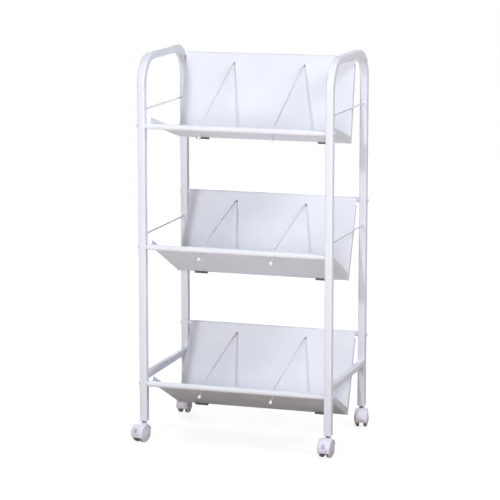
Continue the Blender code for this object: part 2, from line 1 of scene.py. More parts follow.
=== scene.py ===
"""Looks of the file trolley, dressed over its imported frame.

Two bent tube side frames carry three tilted sheet troughs with wire dividers, and stand on four
twin-wheel casters. Metres, +Z up, the front faces -Y.
"""

import logging
import math
from dataclasses import dataclass
from enum import Enum
from functools import lru_cache
from typing import Callable, Sequence

import bmesh
import bpy
from bmesh.types import BMEdge, BMFace, BMVert
from bpy.types import Material, Node, NodeSocket, NodeTree
from mathutils import Matrix, Vector


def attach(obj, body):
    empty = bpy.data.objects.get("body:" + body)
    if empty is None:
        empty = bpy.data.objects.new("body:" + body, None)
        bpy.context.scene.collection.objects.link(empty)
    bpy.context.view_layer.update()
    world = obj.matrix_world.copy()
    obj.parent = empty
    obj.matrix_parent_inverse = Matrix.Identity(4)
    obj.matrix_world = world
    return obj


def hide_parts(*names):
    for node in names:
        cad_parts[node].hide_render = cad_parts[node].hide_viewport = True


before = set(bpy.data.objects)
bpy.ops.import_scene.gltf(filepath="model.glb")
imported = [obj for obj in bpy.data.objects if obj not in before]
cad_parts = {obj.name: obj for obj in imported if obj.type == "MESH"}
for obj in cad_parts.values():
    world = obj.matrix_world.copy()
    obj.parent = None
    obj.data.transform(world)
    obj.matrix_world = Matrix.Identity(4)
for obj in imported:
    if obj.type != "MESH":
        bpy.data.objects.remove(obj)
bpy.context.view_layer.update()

LOG = logging.getLogger("file_trolley")

Pair = tuple[float, float]
Triple = tuple[float, float, float]
Rgba = tuple[float, float, float, float]
Point = Sequence[float]
Value = NodeSocket | float | Triple | Rgba

ALONG_X = Matrix.Rotation(math.pi / 2, 4, "Y")
ALONG_Y = Matrix.Rotation(-math.pi / 2, 4, "X")
TO_FRONT = Matrix.Rotation(math.pi / 2, 4, "X")
CARRIER = "trolley"


class Sign(Enum):
    """A direction, as the sign of a coordinate."""

    @property
    def word(self) -> str:
        """Name in piece names."""
        return self.name.lower()


class Side(Sign):
    """Side of the trolley or of a caster, as the sign of X."""

    LEFT = -1
    RIGHT = 1


class End(Sign):
    """Front or rear of the trolley, as the sign of Y."""

    FRONT = -1
    REAR = 1


class Tier(Enum):
    """The three troughs, from the top."""

    UPPER = "upper"
    MIDDLE = "middle"
    LOWER = "lower"


class Slot(Enum):
    """Material slots that the finishes stand for."""

    TUBE = "coated_tube"
    SHEET = "coated_sheet"
    WIRE = "coated_wire"
    BOLT = "coated_bolt"
    DARK = "dark_plastic"
    STEEL = "dark_steel"
    PALE = "pale_plastic"
    WHEEL = "grey_plastic"


class Nodes:
    """A node tree with short ways to add nodes, set their inputs and link them."""

    def __init__(self, tree: NodeTree) -> None:
        """Takes up a tree."""
        self.tree = tree

    def feed(self, node: Node, inputs: dict[str | int, Value]) -> Node:
        """Links or sets inputs of a node.

        Args:
            node: The node.
            inputs: The socket that drives each input, or its constant.

        Returns:
            The node.
        """
        for label, value in inputs.items():
            if isinstance(value, NodeSocket):
                self.tree.links.new(value, node.inputs[label])
            else:
                node.inputs[label].default_value = value
        return node

    def add(
        self, kind: str, inputs: dict[str | int, Value], **settings: str | NodeTree
    ) -> bpy.types.NodeOutputs:
        """Adds a node.

        Args:
            kind: Its type.
            inputs: Its inputs, as feed takes them.
            settings: Its properties.

        Returns:
            Its outputs.
        """
        node = self.tree.nodes.new(kind)
        for label, value in settings.items():
            setattr(node, label, value)
        return self.feed(node, inputs).outputs

    def place(self, shared: NodeTree, **inputs: Value) -> bpy.types.NodeOutputs:
        """Places a shared group and returns its outputs."""
        return self.add("ShaderNodeGroup", inputs, node_tree=shared)

    def where(self) -> NodeSocket:
        """Adds the object's own coordinates."""
        return self.add("ShaderNodeTexCoord", {})["Object"]

    def noise(self, vector: NodeSocket, scale: NodeSocket, detail: float) -> NodeSocket:
        """Adds a noise texture and returns its value from 0 to 1."""
        return self.add("ShaderNodeTexNoise", {"Vector": vector, "Scale": scale, "Detail": detail})[0]

    def span(self, value: NodeSocket, source: Pair, target: Pair, curve: str = "LINEAR") -> NodeSocket:
        """Maps one span of a value to another.

        Args:
            value: The value.
            source: The span to map.
            target: What its ends become.
            curve: How it runs between them.

        Returns:
            The mapped value.
        """
        ends = {"From Min": source[0], "From Max": source[1], "To Min": target[0], "To Max": target[1]}
        made = self.add("ShaderNodeMapRange", {"Value": value, **ends}, interpolation_type=curve)
        return made["Result"]

    def smooth(self, value: NodeSocket, low: float, high: float) -> NodeSocket:
        """Stretches the span from low to high smoothly to 0 and 1."""
        return self.span(value, (low, high), (0.0, 1.0), "SMOOTHSTEP")

    def maths(self, operation: str, first: Value, second: Value = 0.0) -> NodeSocket:
        """Adds a math node and returns its result."""
        return self.add("ShaderNodeMath", {0: first, 1: second}, operation=operation)[0]

    def mix(self, factor: NodeSocket, first: Value, second: Value) -> NodeSocket:
        """Adds a mix of two colours and returns it."""
        return self.add("ShaderNodeMix", {0: factor, 6: first, 7: second}, data_type="RGBA")[2]


class Effect(Nodes):
    """A shader node group in the making, with named sockets."""

    def __init__(self, name: str, takes: dict[str, str], gives: dict[str, str]) -> None:
        """Makes the group and its sockets.

        Args:
            name: Name of the group.
            takes: Kind of each named input.
            gives: Kind of each named output.
        """
        super().__init__(bpy.data.node_groups.new(name, "ShaderNodeTree"))
        for way, sockets in (("INPUT", takes), ("OUTPUT", gives)):
            for label, kind in sockets.items():
                self.tree.interface.new_socket(label, in_out=way, socket_type=f"NodeSocket{kind}")
        self.given = self.tree.nodes.new("NodeGroupInput").outputs
        self.result = self.tree.nodes.new("NodeGroupOutput")
        self.vector, self.scale = self.given["Vector"], self.given["Scale"]

    def give(self, **outputs: NodeSocket) -> NodeTree:
        """Links the named outputs and returns the finished group."""
        self.feed(self.result, outputs)
        return self.tree


# Sockets that every group takes, and those that a skin gives
PATTERN = {"Vector": "Vector", "Scale": "Float"}
SKIN = {"Height": "Float", "Gloss": "Float"}


@lru_cache
def tone_drift() -> NodeTree:
    """Group that drifts softly between two tones over the surface."""
    made = Effect("tone_drift", {**PATTERN, "Light": "Color", "Shade": "Color"}, {"Color": "Color"})
    drift = made.smooth(made.noise(made.vector, made.scale, detail=4.0), low=0.3, high=0.72)
    return made.give(Color=made.mix(drift, made.given["Light"], made.given["Shade"]))


@lru_cache
def orange_peel() -> NodeTree:
    """Group with the rippled skin of a powder coat and its slow change of gloss."""
    made = Effect("orange_peel", PATTERN, SKIN)
    ripple = made.noise(made.vector, made.scale, detail=1.5)
    sparse = made.maths("MULTIPLY", made.scale, 0.6)
    dents = made.add("ShaderNodeTexVoronoi", {"Vector": made.vector, "Scale": sparse}, feature="SMOOTH_F1")
    height = made.maths("ADD", ripple, made.maths("MULTIPLY", dents["Distance"], 0.45))
    slow = made.noise(made.vector, made.maths("MULTIPLY", made.scale, 0.03), detail=3.0)
    return made.give(Height=height, Gloss=made.smooth(slow, low=0.3, high=0.7))


@lru_cache
def spark_grain() -> NodeTree:
    """Group with the fine pitted grain of a moulded plastic."""
    made = Effect("spark_grain", PATTERN, SKIN)
    grain = made.noise(made.vector, made.scale, detail=2.0)
    coarse = made.noise(made.vector, made.maths("MULTIPLY", made.scale, 0.35), detail=2.0)
    pits = made.smooth(coarse, low=0.35, high=0.65)
    return made.give(Height=made.maths("ADD", grain, made.maths("MULTIPLY", pits, 0.6)), Gloss=pits)


@lru_cache
def tool_lines() -> NodeTree:
    """Group with the fine rings that turning leaves on plated steel."""
    made = Effect("tool_lines", PATTERN, SKIN)
    stretched = made.add("ShaderNodeMapping", {"Vector": made.vector, "Scale": (0.12, 0.12, 1.0)})
    lines = made.noise(stretched["Vector"], made.scale, detail=3.0)
    return made.give(Height=lines, Gloss=made.smooth(lines, low=0.3, high=0.7))


@lru_cache
def settled_dust() -> NodeTree:
    """Group with a mask of floor dust, thick at the floor and gone at its reach."""
    made = Effect("settled_dust", {**PATTERN, "Reach": "Float"}, {"Mask": "Float"})
    up = made.add("ShaderNodeSeparateXYZ", {0: made.vector})["Z"]
    height = made.smooth(made.maths("DIVIDE", up, made.given["Reach"]), low=-0.2, high=1.0)
    near = made.maths("ABSOLUTE", made.maths("SUBTRACT", height, 1.0))
    speck = made.smooth(made.noise(made.vector, made.scale, detail=5.0), low=0.42, high=0.72)
    return made.give(Mask=made.maths("MULTIPLY", near, speck))


def opaque(colour: Triple) -> Rgba:
    """Colour with a full alpha."""
    return (*colour, 1.0)


def new_material(name: str) -> tuple[Material, Nodes, Node]:
    """Makes a node material.

    Args:
        name: Its name.

    Returns:
        The material, its nodes and its shader.
    """
    made = bpy.data.materials.new(name)
    made.use_nodes = True
    return made, Nodes(made.node_tree), made.node_tree.nodes["Principled BSDF"]


def new_object(name: str, data: bpy.types.ID) -> bpy.types.Object:
    """Makes an object of a mesh, lamp or camera and links it to the scene.

    Args:
        name: Its name.
        data: What it shows.

    Returns:
        The object.
    """
    item = bpy.data.objects.new(name, data)
    bpy.context.scene.collection.objects.link(item)
    return item


DUST_COLOUR = (0.36, 0.34, 0.32)
DUST_REACH = 0.05
DUST_SCALE = 260.0
COAT_ROUGHNESS = 0.12
RELIEF_STRENGTH = 0.6


@dataclass(frozen=True)
class Finish:
    """Surface of one kind of part: the material slot that it stands for, two tones, gloss and relief.

    The gloss pair is the smoothest and the dullest roughness; relief is (features per metre, depth).
    """

    name: str
    slot: Slot
    light: Triple
    shade: Triple
    tone_scale: float
    gloss: Pair
    relief: Pair
    metallic: float = 0.0
    mirror: float = 0.5
    coat: float = 0.0
    dust: float = 0.0
    skin: Callable[[], NodeTree] = orange_peel

    @lru_cache
    def material(self) -> Material:
        """Builds the node material.

        Returns:
            The material, the same one each time.
        """
        made, nodes, shader = new_material(self.name)
        where = nodes.where()
        tones = {"Light": opaque(self.light), "Shade": opaque(self.shade)}
        colour = nodes.place(tone_drift(), Vector=where, Scale=self.tone_scale, **tones)["Color"]
        if self.dust:
            dust = nodes.place(settled_dust(), Vector=where, Scale=DUST_SCALE, Reach=DUST_REACH)
            amount = nodes.maths("MULTIPLY", dust["Mask"], self.dust)
            colour = nodes.mix(amount, colour, opaque(DUST_COLOUR))
        features, depth = self.relief
        skin = nodes.place(self.skin(), Vector=where, Scale=features)
        relief = {"Strength": RELIEF_STRENGTH, "Distance": depth, "Height": skin["Height"]}
        surface = {
            "Base Color": colour,
            "Metallic": self.metallic,
            "Roughness": nodes.span(skin["Gloss"], (0.0, 1.0), self.gloss),
            "Specular IOR Level": self.mirror,
            "Coat Weight": self.coat,
            "Coat Roughness": COAT_ROUGHNESS,
            "Normal": nodes.add("ShaderNodeBump", relief)["Normal"],
        }
        nodes.feed(shader, surface)
        return made


@dataclass(frozen=True)
class PowderCoat(Finish):
    """Baked powder coat with an orange-peel skin."""


@dataclass(frozen=True)
class Moulding(Finish):
    """Moulded plastic with a spark-eroded grain."""

    skin: Callable[[], NodeTree] = spark_grain


@dataclass(frozen=True)
class Plating(Finish):
    """Turned and plated steel."""

    metallic: float = 1.0
    skin: Callable[[], NodeTree] = tool_lines


TUBE_COAT = PowderCoat(
    "tube_coat", Slot.TUBE, (0.79, 0.812, 0.90), (0.77, 0.792, 0.88),
    tone_scale=6.0, gloss=(0.34, 0.44), relief=(620.0, 0.00003), mirror=0.25, coat=0.04,
)
SHEET_COAT = PowderCoat(
    "sheet_coat", Slot.SHEET, (0.82, 0.845, 0.92), (0.785, 0.81, 0.885),
    tone_scale=6.0, gloss=(0.44, 0.56), relief=(560.0, 0.00006), mirror=0.2,
)
WIRE_COAT = PowderCoat(
    "wire_coat", Slot.WIRE, (0.73, 0.745, 0.81), (0.705, 0.72, 0.785),
    tone_scale=20.0, gloss=(0.32, 0.42), relief=(700.0, 0.00003), mirror=0.3, coat=0.05,
)
BOLT_COAT = PowderCoat(
    "bolt_coat", Slot.BOLT, (0.74, 0.745, 0.78), (0.62, 0.625, 0.66),
    tone_scale=160.0, gloss=(0.24, 0.38), relief=(900.0, 0.00003), coat=0.1,
)
PALE_SHELL = Moulding(
    "pale_shell", Slot.PALE, (0.86, 0.84, 0.975), (0.815, 0.795, 0.935),
    tone_scale=60.0, gloss=(0.36, 0.48), relief=(1500.0, 0.00004), mirror=0.35, dust=0.2,
)
PEDAL_SHELL = Moulding(
    "pedal_shell", Slot.PALE, (0.83, 0.81, 0.96), (0.78, 0.76, 0.915),
    tone_scale=70.0, gloss=(0.36, 0.48), relief=(1500.0, 0.00005), mirror=0.35, dust=0.15,
)
# Painted shade: the dark grey of the pedal's grip ridges stands for the shade seen on the pedal
GRIP_PAINTED_SHADE = Moulding(
    "grip_plastic", Slot.WHEEL, (0.40, 0.39, 0.47), (0.34, 0.33, 0.41),
    tone_scale=90.0, gloss=(0.45, 0.60), relief=(1500.0, 0.00005), mirror=0.3,
)
CAP_PLASTIC = Moulding(
    "cap_plastic", Slot.PALE, (0.90, 0.90, 0.92), (0.86, 0.86, 0.88),
    tone_scale=120.0, gloss=(0.28, 0.40), relief=(1800.0, 0.00003),
)
DISC_PLASTIC = Moulding(
    "disc_plastic", Slot.WHEEL, (0.77, 0.75, 0.85), (0.715, 0.695, 0.795),
    tone_scale=70.0, gloss=(0.36, 0.50), relief=(1500.0, 0.00004), mirror=0.35, dust=0.25,
)
TREAD_PLASTIC = Moulding(
    "tread_plastic", Slot.WHEEL, (0.15, 0.145, 0.155), (0.105, 0.10, 0.11),
    tone_scale=90.0, gloss=(0.45, 0.62), relief=(1100.0, 0.00007), dust=0.35,
)
CLIP_PLASTIC = Moulding(
    "clip_plastic", Slot.DARK, (0.12, 0.118, 0.122), (0.09, 0.088, 0.092),
    tone_scale=120.0, gloss=(0.42, 0.58), relief=(1500.0, 0.00005),
)
# Painted shade: the near-black of the grommets stands for the shade in the wire holes
GROMMET_SHADE = Moulding(
    "dark_plastic_trim", Slot.DARK, (0.075, 0.073, 0.078), (0.055, 0.053, 0.058),
    tone_scale=120.0, gloss=(0.40, 0.55), relief=(1500.0, 0.00005),
)
DARK_PLATING = Plating(
    "dark_plating", Slot.STEEL, (0.055, 0.053, 0.058), (0.035, 0.034, 0.038),
    tone_scale=180.0, gloss=(0.30, 0.48), relief=(2600.0, 0.00002),
)

FOLD_STEPS = 3
EDGE_STEPS = 4
CORNER_STEPS = 5
SHOULDER_STEPS = 6
DOME_STEPS = 8
WIRE_STEPS = 8
PEDAL_STEPS = 14
BEND_STEPS = 22
ROLL_STEPS = 26
WEB_STEPS = 36
WIRE_ROUND = 14
SMALL_ROUND = 24
ROUND = 40
MERGE = 1e-6
SHARP = math.radians(38)


def arc(centre: Point, radii: Point, start: float, stop: float, steps: int) -> list[Pair]:
    """Points along an elliptic arc in a profile's plane.

    Args:
        centre: Middle of the ellipse.
        radii: Its two half axes.
        start: First angle in degrees.
        stop: Last angle in degrees.
        steps: Number of steps.

    Returns:
        The points, both ends included.
    """
    angles = [math.radians(start + (stop - start) * step / steps) for step in range(steps + 1)]
    return [(centre[0] + radii[0] * math.cos(a), centre[1] + radii[1] * math.sin(a)) for a in angles]


def mirrored(right: Sequence[Point]) -> list[Pair]:
    """Mirror images of a profile's points, last one first, and then the points themselves."""
    return [*((-along, size) for along, size in reversed(right)), *right]


def moved(x: float, y: float, z: float) -> Matrix:
    """Matrix that moves by that much."""
    return Matrix.Translation((x, y, z))


class Form:
    """A mesh in the making: sections and lines that bmesh operators carry along and turn."""

    def __init__(self) -> None:
        """Starts empty."""
        self.bm = bmesh.new()
        self.front: list[BMEdge] = []

    def _since(self, before: set[BMVert]) -> list[BMVert]:
        """Vertices that are new since that set was taken."""
        return [vert for vert in self.bm.verts if vert not in before]

    def _take(self, made: list) -> list[BMVert]:
        """Makes the edges of an extrusion's far end the new front.

        Args:
            made: What the extrusion made.

        Returns:
            The far end's vertices.
        """
        verts = [item for item in made if isinstance(item, BMVert)]
        new = set(verts)
        edges = [item for item in made if isinstance(item, BMEdge)]
        self.front = [edge for edge in edges if set(edge.verts) <= new]
        return verts

    def _begin(self, before: set[BMVert], place: Matrix, capped: bool = True) -> "Form":
        """Places a new section and makes its edges the front.

        Args:
            before: Vertices from before the section.
            place: Where it lies.
            capped: Whether it keeps its face.

        Returns:
            The form itself.
        """
        new = self._since(before)
        bmesh.ops.transform(self.bm, matrix=place, verts=new)
        found = set(new)
        self.front = [edge for edge in self.bm.edges if edge.verts[0] in found]
        if not capped:
            faces = [face for face in self.bm.faces if face.verts[0] in found]
            bmesh.ops.delete(self.bm, geom=faces, context="FACES_ONLY")
        return self

    def _bevel(self, geom: list, offset: float, segments: int, affect: str) -> None:
        """Rounds the edges or the corners in a list."""
        bmesh.ops.bevel(
            self.bm, geom=geom, offset=offset, segments=segments, profile=0.5, affect=affect, material=-1
        )

    def front_verts(self) -> list[BMVert]:
        """Vertices of the front."""
        return list(dict.fromkeys(vert for edge in self.front for vert in edge.verts))

    def square(self, size: float, corner: float, place: Matrix, capped: bool = True) -> "Form":
        """Starts a square section with rounded corners.

        Args:
            size: Width over the flats.
            corner: Corner radius.
            place: Where the section lies; its plane is XY before that.
            capped: Whether the start is closed.

        Returns:
            The form itself.
        """
        before = set(self.bm.verts)
        made = bmesh.ops.create_grid(self.bm, x_segments=1, y_segments=1, size=size / 2)
        self._bevel(made["verts"], corner, CORNER_STEPS, "VERTICES")
        return self._begin(before, place, capped)

    def circle(self, radius: float, place: Matrix) -> "Form":
        """Starts the closed round section of a wire.

        Args:
            radius: Its radius.
            place: Where the section lies; its plane is XY before that.

        Returns:
            The form itself.
        """
        before = set(self.bm.verts)
        bmesh.ops.create_circle(self.bm, cap_ends=True, segments=WIRE_ROUND, radius=radius)
        return self._begin(before, place)

    def outline(self, points: Sequence[Point], place: Matrix) -> "Form":
        """Starts a section from its corner points.

        Args:
            points: The corners in order.
            place: Where the section lies.

        Returns:
            The form itself.
        """
        before = set(self.bm.verts)
        self.bm.faces.new([self.bm.verts.new(point) for point in points])
        return self._begin(before, place)

    def line(self, points: Sequence[Point]) -> "Form":
        """Starts an open line that later steps carry into a sheet."""
        verts = [self.bm.verts.new(point) for point in points]
        self.front = [self.bm.edges.new(pair) for pair in zip(verts, verts[1:])]
        return self

    def straight(self, vector: Point) -> "Form":
        """Carries the front along a vector."""
        made = bmesh.ops.extrude_edge_only(self.bm, edges=self.front)["geom"]
        bmesh.ops.translate(self.bm, vec=vector, verts=self._take(made))
        return self

    def bend(self, centre: Point, axis: Point, angle: float, steps: int) -> "Form":
        """Carries the front round an axis.

        Args:
            centre: Point on the axis.
            axis: Direction of the axis.
            angle: Angle in radians.
            steps: Number of steps.

        Returns:
            The form itself.
        """
        made = bmesh.ops.spin(
            self.bm, geom=self.front, cent=centre, axis=axis, angle=angle, steps=steps, use_duplicate=False
        )
        self._take(made["geom_last"])
        return self

    def resize(self, factor: float, centre: Point) -> "Form":
        """Scales the front about a point."""
        space = Matrix.Translation(-Vector(centre))
        bmesh.ops.scale(self.bm, vec=(factor,) * 3, space=space, verts=self.front_verts())
        return self

    def close(self) -> "Form":
        """Fills the front and turns the faces of its body outwards."""
        bmesh.ops.holes_fill(self.bm, edges=self.front)
        bmesh.ops.recalc_face_normals(self.bm, faces=self._body(self.front[0].link_faces[0]))
        return self

    def _body(self, face: BMFace) -> list[BMFace]:
        """Faces that hang together with a face."""
        found = {face}
        open_faces = [face]
        while open_faces:
            for edge in open_faces.pop().edges:
                fresh = [other for other in edge.link_faces if other not in found]
                found.update(fresh)
                open_faces.extend(fresh)
        return [item for item in self.bm.faces if item in found]

    def turned(
        self, profile: Sequence[Point], place: Matrix, ring: bool = False, steps: int = SMALL_ROUND
    ) -> "Form":
        """Adds a body of revolution.

        Args:
            profile: (distance along the axis, radius) points; without ring it starts and ends on the axis.
            place: Where the body lies; its axis is Z before that.
            ring: Whether the profile closes on itself.
            steps: Sides of the round.

        Returns:
            The form itself.
        """
        before = set(self.bm.verts)
        verts = [self.bm.verts.new((radius, 0, along)) for along, radius in profile]
        following = verts[1:] + verts[:1] if ring else verts[1:]
        geom = verts + [self.bm.edges.new(pair) for pair in zip(verts, following)]
        bmesh.ops.spin(
            self.bm, geom=geom, cent=(0, 0, 0), axis=(0, 0, 1), angle=math.tau, steps=steps, use_merge=True
        )
        bmesh.ops.remove_doubles(self.bm, verts=self._since(before), dist=MERGE)
        new = self._since(before)
        bmesh.ops.transform(self.bm, matrix=place, verts=new)
        found = set(new)
        faces = [face for face in self.bm.faces if face.verts[0] in found]
        bmesh.ops.recalc_face_normals(self.bm, faces=faces)
        self.front = [edge for edge in self.bm.edges if edge.is_boundary and edge.verts[0] in found]
        return self

    def wall(self, thickness: float, outside: Callable[[BMFace], float]) -> "Form":
        """Turns a sheet's outer side out and gives it a wall behind that side.

        Args:
            thickness: Thickness of the wall.
            outside: Gives for a face more than 0 where its outer side is out.

        Returns:
            The form itself.
        """
        bmesh.ops.remove_doubles(self.bm, verts=self.bm.verts, dist=MERGE)
        bmesh.ops.recalc_face_normals(self.bm, faces=self.bm.faces)
        self.bm.normal_update()
        largest = max(self.bm.faces, key=lambda face: face.calc_area())
        if outside(largest) < 0:
            bmesh.ops.reverse_faces(self.bm, faces=self.bm.faces)
        bmesh.ops.solidify(self.bm, geom=list(self.bm.faces), thickness=thickness)
        return self

    def put(self, place: Matrix) -> "Form":
        """Moves the whole form to its place."""
        bmesh.ops.transform(self.bm, matrix=place, verts=self.bm.verts)
        return self

    def piece(
        self, name: str, finish: Finish, body: str = CARRIER, edge: float = 0.0, solid: bool = True
    ) -> None:
        """Hands the form over as a finished piece on its body.

        Args:
            name: Name of the piece.
            finish: Its finish.
            body: Body that it rides on.
            edge: Width of the rounding on its sharp edges, if any.
            solid: Whether it replaces the CAD node of the same name.
        """
        mesh = bpy.data.meshes.new(name)
        self.bm.to_mesh(mesh)
        self.bm.free()
        mesh.materials.append(finish.material())
        mesh.shade_smooth()
        item = new_object(name, mesh)
        if edge:
            rounding = item.modifiers.new("edge_rounding", "BEVEL")
            rounding.width = edge
            rounding.segments = 2
            rounding.limit_method = "ANGLE"
            rounding.angle_limit = SHARP
            rounding.harden_normals = True
        else:
            mesh.set_sharp_from_angle(angle=SHARP)
        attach(item, body)
        if solid:
            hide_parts(name)
        LOG.info("%s rides on %s, %d faces", name, body, len(mesh.polygons))


@dataclass(frozen=True)
class TroughPlace:
    """Where one trough hangs: its inner corner, its tilt and its two rail axes, all (y, z)."""

    corner: Pair
    tilt: float
    front: Pair
    rear: Pair

    @property
    def matrix(self) -> Matrix:
        """From the trough's own frame, its corner at the origin and its floor flat, to the trolley's."""
        return moved(0, *self.corner) @ Matrix.Rotation(-self.tilt, 4, "X")


@dataclass(frozen=True)
class Plan:
    """Sizes and places that the sub-assemblies share."""

    gap: float = 0.0003
    post_x: float = 0.2365
    front_y: float = -0.139
    rear_y: float = 0.171
    tube: float = 0.019
    tube_corner: float = 0.0035
    tube_wall: float = 0.0012
    bend_radius: float = 0.070
    bend_start: float = 0.8825
    post_end: float = 0.0526
    rail: float = 0.0127
    sheet: float = 0.001
    roll: float = 0.00695
    back_height: float = 0.210
    tilt: float = math.radians(25.7)
    middle_height: float = 0.488
    lower_height: float = 0.145
    upper_bend_angle: float = math.radians(48.3)

    @property
    def depth(self) -> float:
        """From the front post axes to the rear ones."""
        return self.rear_y - self.front_y

    @property
    def back_reach(self) -> float:
        """From the trough's corner up to its rear rail axis."""
        return self.back_height + self.roll

    @property
    def floor_reach(self) -> float:
        """From the rear rail axis forward to the front one, along the floor."""
        return (self.depth - self.back_reach * math.sin(self.tilt)) / math.cos(self.tilt)

    @property
    def floor_depth(self) -> float:
        """From the trough's corner forward to its front rail axis."""
        return self.floor_reach - self.roll - self.gap

    def post_y(self, end: End) -> float:
        """Y of the front or rear posts."""
        return self.front_y if end is End.FRONT else self.rear_y

    def trough(self, tier: Tier) -> TroughPlace:
        """Works out where a trough hangs.

        Args:
            tier: Which trough.

        Returns:
            Its place.
        """
        chord = math.hypot(self.floor_reach, self.back_reach)
        if tier is Tier.UPPER:
            rear_y = self.rear_y - self.bend_radius * (1 - math.cos(self.upper_bend_angle))
            rear_z = self.bend_start + self.bend_radius * math.sin(self.upper_bend_angle)
            rise = math.sqrt(chord**2 - (rear_y - self.front_y) ** 2)
            front, rear = (self.front_y, rear_z - rise), (rear_y, rear_z)
        else:
            height = self.middle_height if tier is Tier.MIDDLE else self.lower_height
            rise = math.sqrt(chord**2 - self.depth**2)
            front, rear = (self.front_y, height), (self.rear_y, height + rise)
        slope = math.atan2(rear[1] - front[1], rear[0] - front[0])
        tilt = math.atan2(self.back_reach, self.floor_reach) - slope
        corner_y = front[0] + self.floor_depth * math.cos(tilt) + self.roll * math.sin(tilt)
        corner_z = front[1] - self.floor_depth * math.sin(tilt) + self.roll * math.cos(tilt)
        return TroughPlace((corner_y, corner_z), tilt, front, rear)


PLAN = Plan()


@dataclass(frozen=True)
class SideFrame:
    """One bent tube side frame with its stretcher and guard wires welded in."""

    side: Side
    stretcher: float = 0.016
    stretcher_corner: float = 0.003
    stretcher_rise: float = 0.018
    guard_wire: float = 0.004
    upper_guard_rise: float = 0.039
    middle_guard_rise: float = 0.0295
    bead: tuple[Pair, ...] = ((0.0, 0.0013), (0.0006, 0.0011), (0.0013, 0.0006), (0.0024, 0.0))
    edge: float = 0.0003

    @property
    def x(self) -> float:
        """X of both posts."""
        return self.side.value * PLAN.post_x

    @property
    def start_y(self) -> float:
        """Where bars start, just inside the front post's rear face."""
        return PLAN.front_y + PLAN.tube / 2 - PLAN.gap

    def build(self) -> None:
        """Builds and dresses the frame."""
        form = self.tube()
        start = self.bar_start(Tier.LOWER, self.stretcher_rise)
        form.square(self.stretcher, self.stretcher_corner, start @ ALONG_Y)
        self.welded_bar(form, start.translation, self.stretcher / 2)
        for tier, rise in ((Tier.UPPER, self.upper_guard_rise), (Tier.MIDDLE, self.middle_guard_rise)):
            start = self.bar_start(tier, rise)
            form.circle(self.guard_wire / 2, start @ ALONG_Y)
            self.welded_bar(form, start.translation, self.guard_wire / 2)
        form.piece(f"{self.side.word}_side_frame", TUBE_COAT, edge=self.edge)

    def bar_start(self, tier: Tier, rise: float) -> Matrix:
        """Place of a bar's front end, that much above a trough's front rail."""
        return moved(self.x, self.start_y, PLAN.trough(tier).front[1] + rise)

    def tube(self) -> Form:
        """Bends the tube into its inverted U.

        Returns:
            The form with the walled tube.
        """
        radius, top = PLAN.bend_radius, PLAN.bend_start
        rise = top - PLAN.post_end
        form = Form()
        start = moved(self.x, PLAN.front_y, PLAN.post_end)
        form.square(PLAN.tube, PLAN.tube_corner, start, capped=False)
        form.straight((0, 0, rise))
        form.bend((self.x, PLAN.front_y + radius, top), (-1, 0, 0), math.pi / 2, BEND_STEPS)
        form.straight((0, PLAN.depth - 2 * radius, 0))
        form.bend((self.x, PLAN.rear_y - radius, top), (-1, 0, 0), math.pi / 2, BEND_STEPS)
        form.straight((0, 0, -rise))
        middle_y = (PLAN.front_y + PLAN.rear_y) / 2

        def outside(face: BMFace) -> float:
            """More than 0 where the face looks away from its own post."""
            centre = face.calc_center_median()
            post_y = PLAN.front_y if centre.y < middle_y else PLAN.rear_y
            return face.normal.dot(centre - Vector((self.x, post_y, centre.z)))

        return form.wall(PLAN.tube_wall, outside)

    def welded_bar(self, form: Form, start: Vector, half: float) -> None:
        """Carries the front from post to post, with a weld bead swelling it at both ends.

        Args:
            form: The frame's form, with the bar's section as its front.
            start: Middle of that section.
            half: Half the bar's thickness.
        """
        length = PLAN.depth - PLAN.tube + 2 * PLAN.gap
        stops = [(along, 1 + swell / half) for along, swell in self.bead]
        stops += [(length - along, factor) for along, factor in reversed(stops)]
        form.resize(stops[0][1], start)
        for (here, size), (there, next_size) in zip(stops, stops[1:]):
            form.straight((0, there - here, 0))
            form.resize(next_size / size, (start.x, start.y + there, start.z))
        form.close()


class SheetForm(Form):
    """A folded sheet: a profile run along X, with ends and tabs folded over."""

    def run(self, profile: Sequence[Point], stops: Sequence[float]) -> "SheetForm":
        """Runs a profile along X.

        Args:
            profile: Its (y, z) points.
            stops: Places along X where the sheet has a row of vertices.

        Returns:
            The form itself.
        """
        self.line([(stops[0], y, z) for y, z in profile])
        for here, there in zip(stops, stops[1:]):
            self.straight((there - here, 0, 0))
        return self

    def fold(self, low: Point, high: Point, vector: Point, radius: float = 0.0, corner: float = 0.0) -> None:
        """Folds over the sheet's open edges that lie in a box.

        Args:
            low: Lowest corner of the box.
            high: Highest corner of the box.
            vector: From the edge to the fold's outer edge.
            radius: Radius of the fold, if it is rounded.
            corner: Radius of the fold's outer corners, if they are rounded.
        """
        slack = PLAN.gap / 10

        def inside(vert: BMVert) -> bool:
            """Whether a vertex lies in the box."""
            return all(low[i] - slack < vert.co[i] < high[i] + slack for i in range(3))

        edges = [e for e in self.bm.edges if e.is_boundary and all(inside(v) for v in e.verts)]
        made = bmesh.ops.extrude_edge_only(self.bm, edges=edges)["geom"]
        verts = [item for item in made if isinstance(item, BMVert)]
        bmesh.ops.translate(self.bm, vec=vector, verts=verts)
        if corner:
            self._bevel(verts, corner, EDGE_STEPS, "VERTICES")
        if radius:
            self._bevel(edges, radius, FOLD_STEPS, "EDGES")


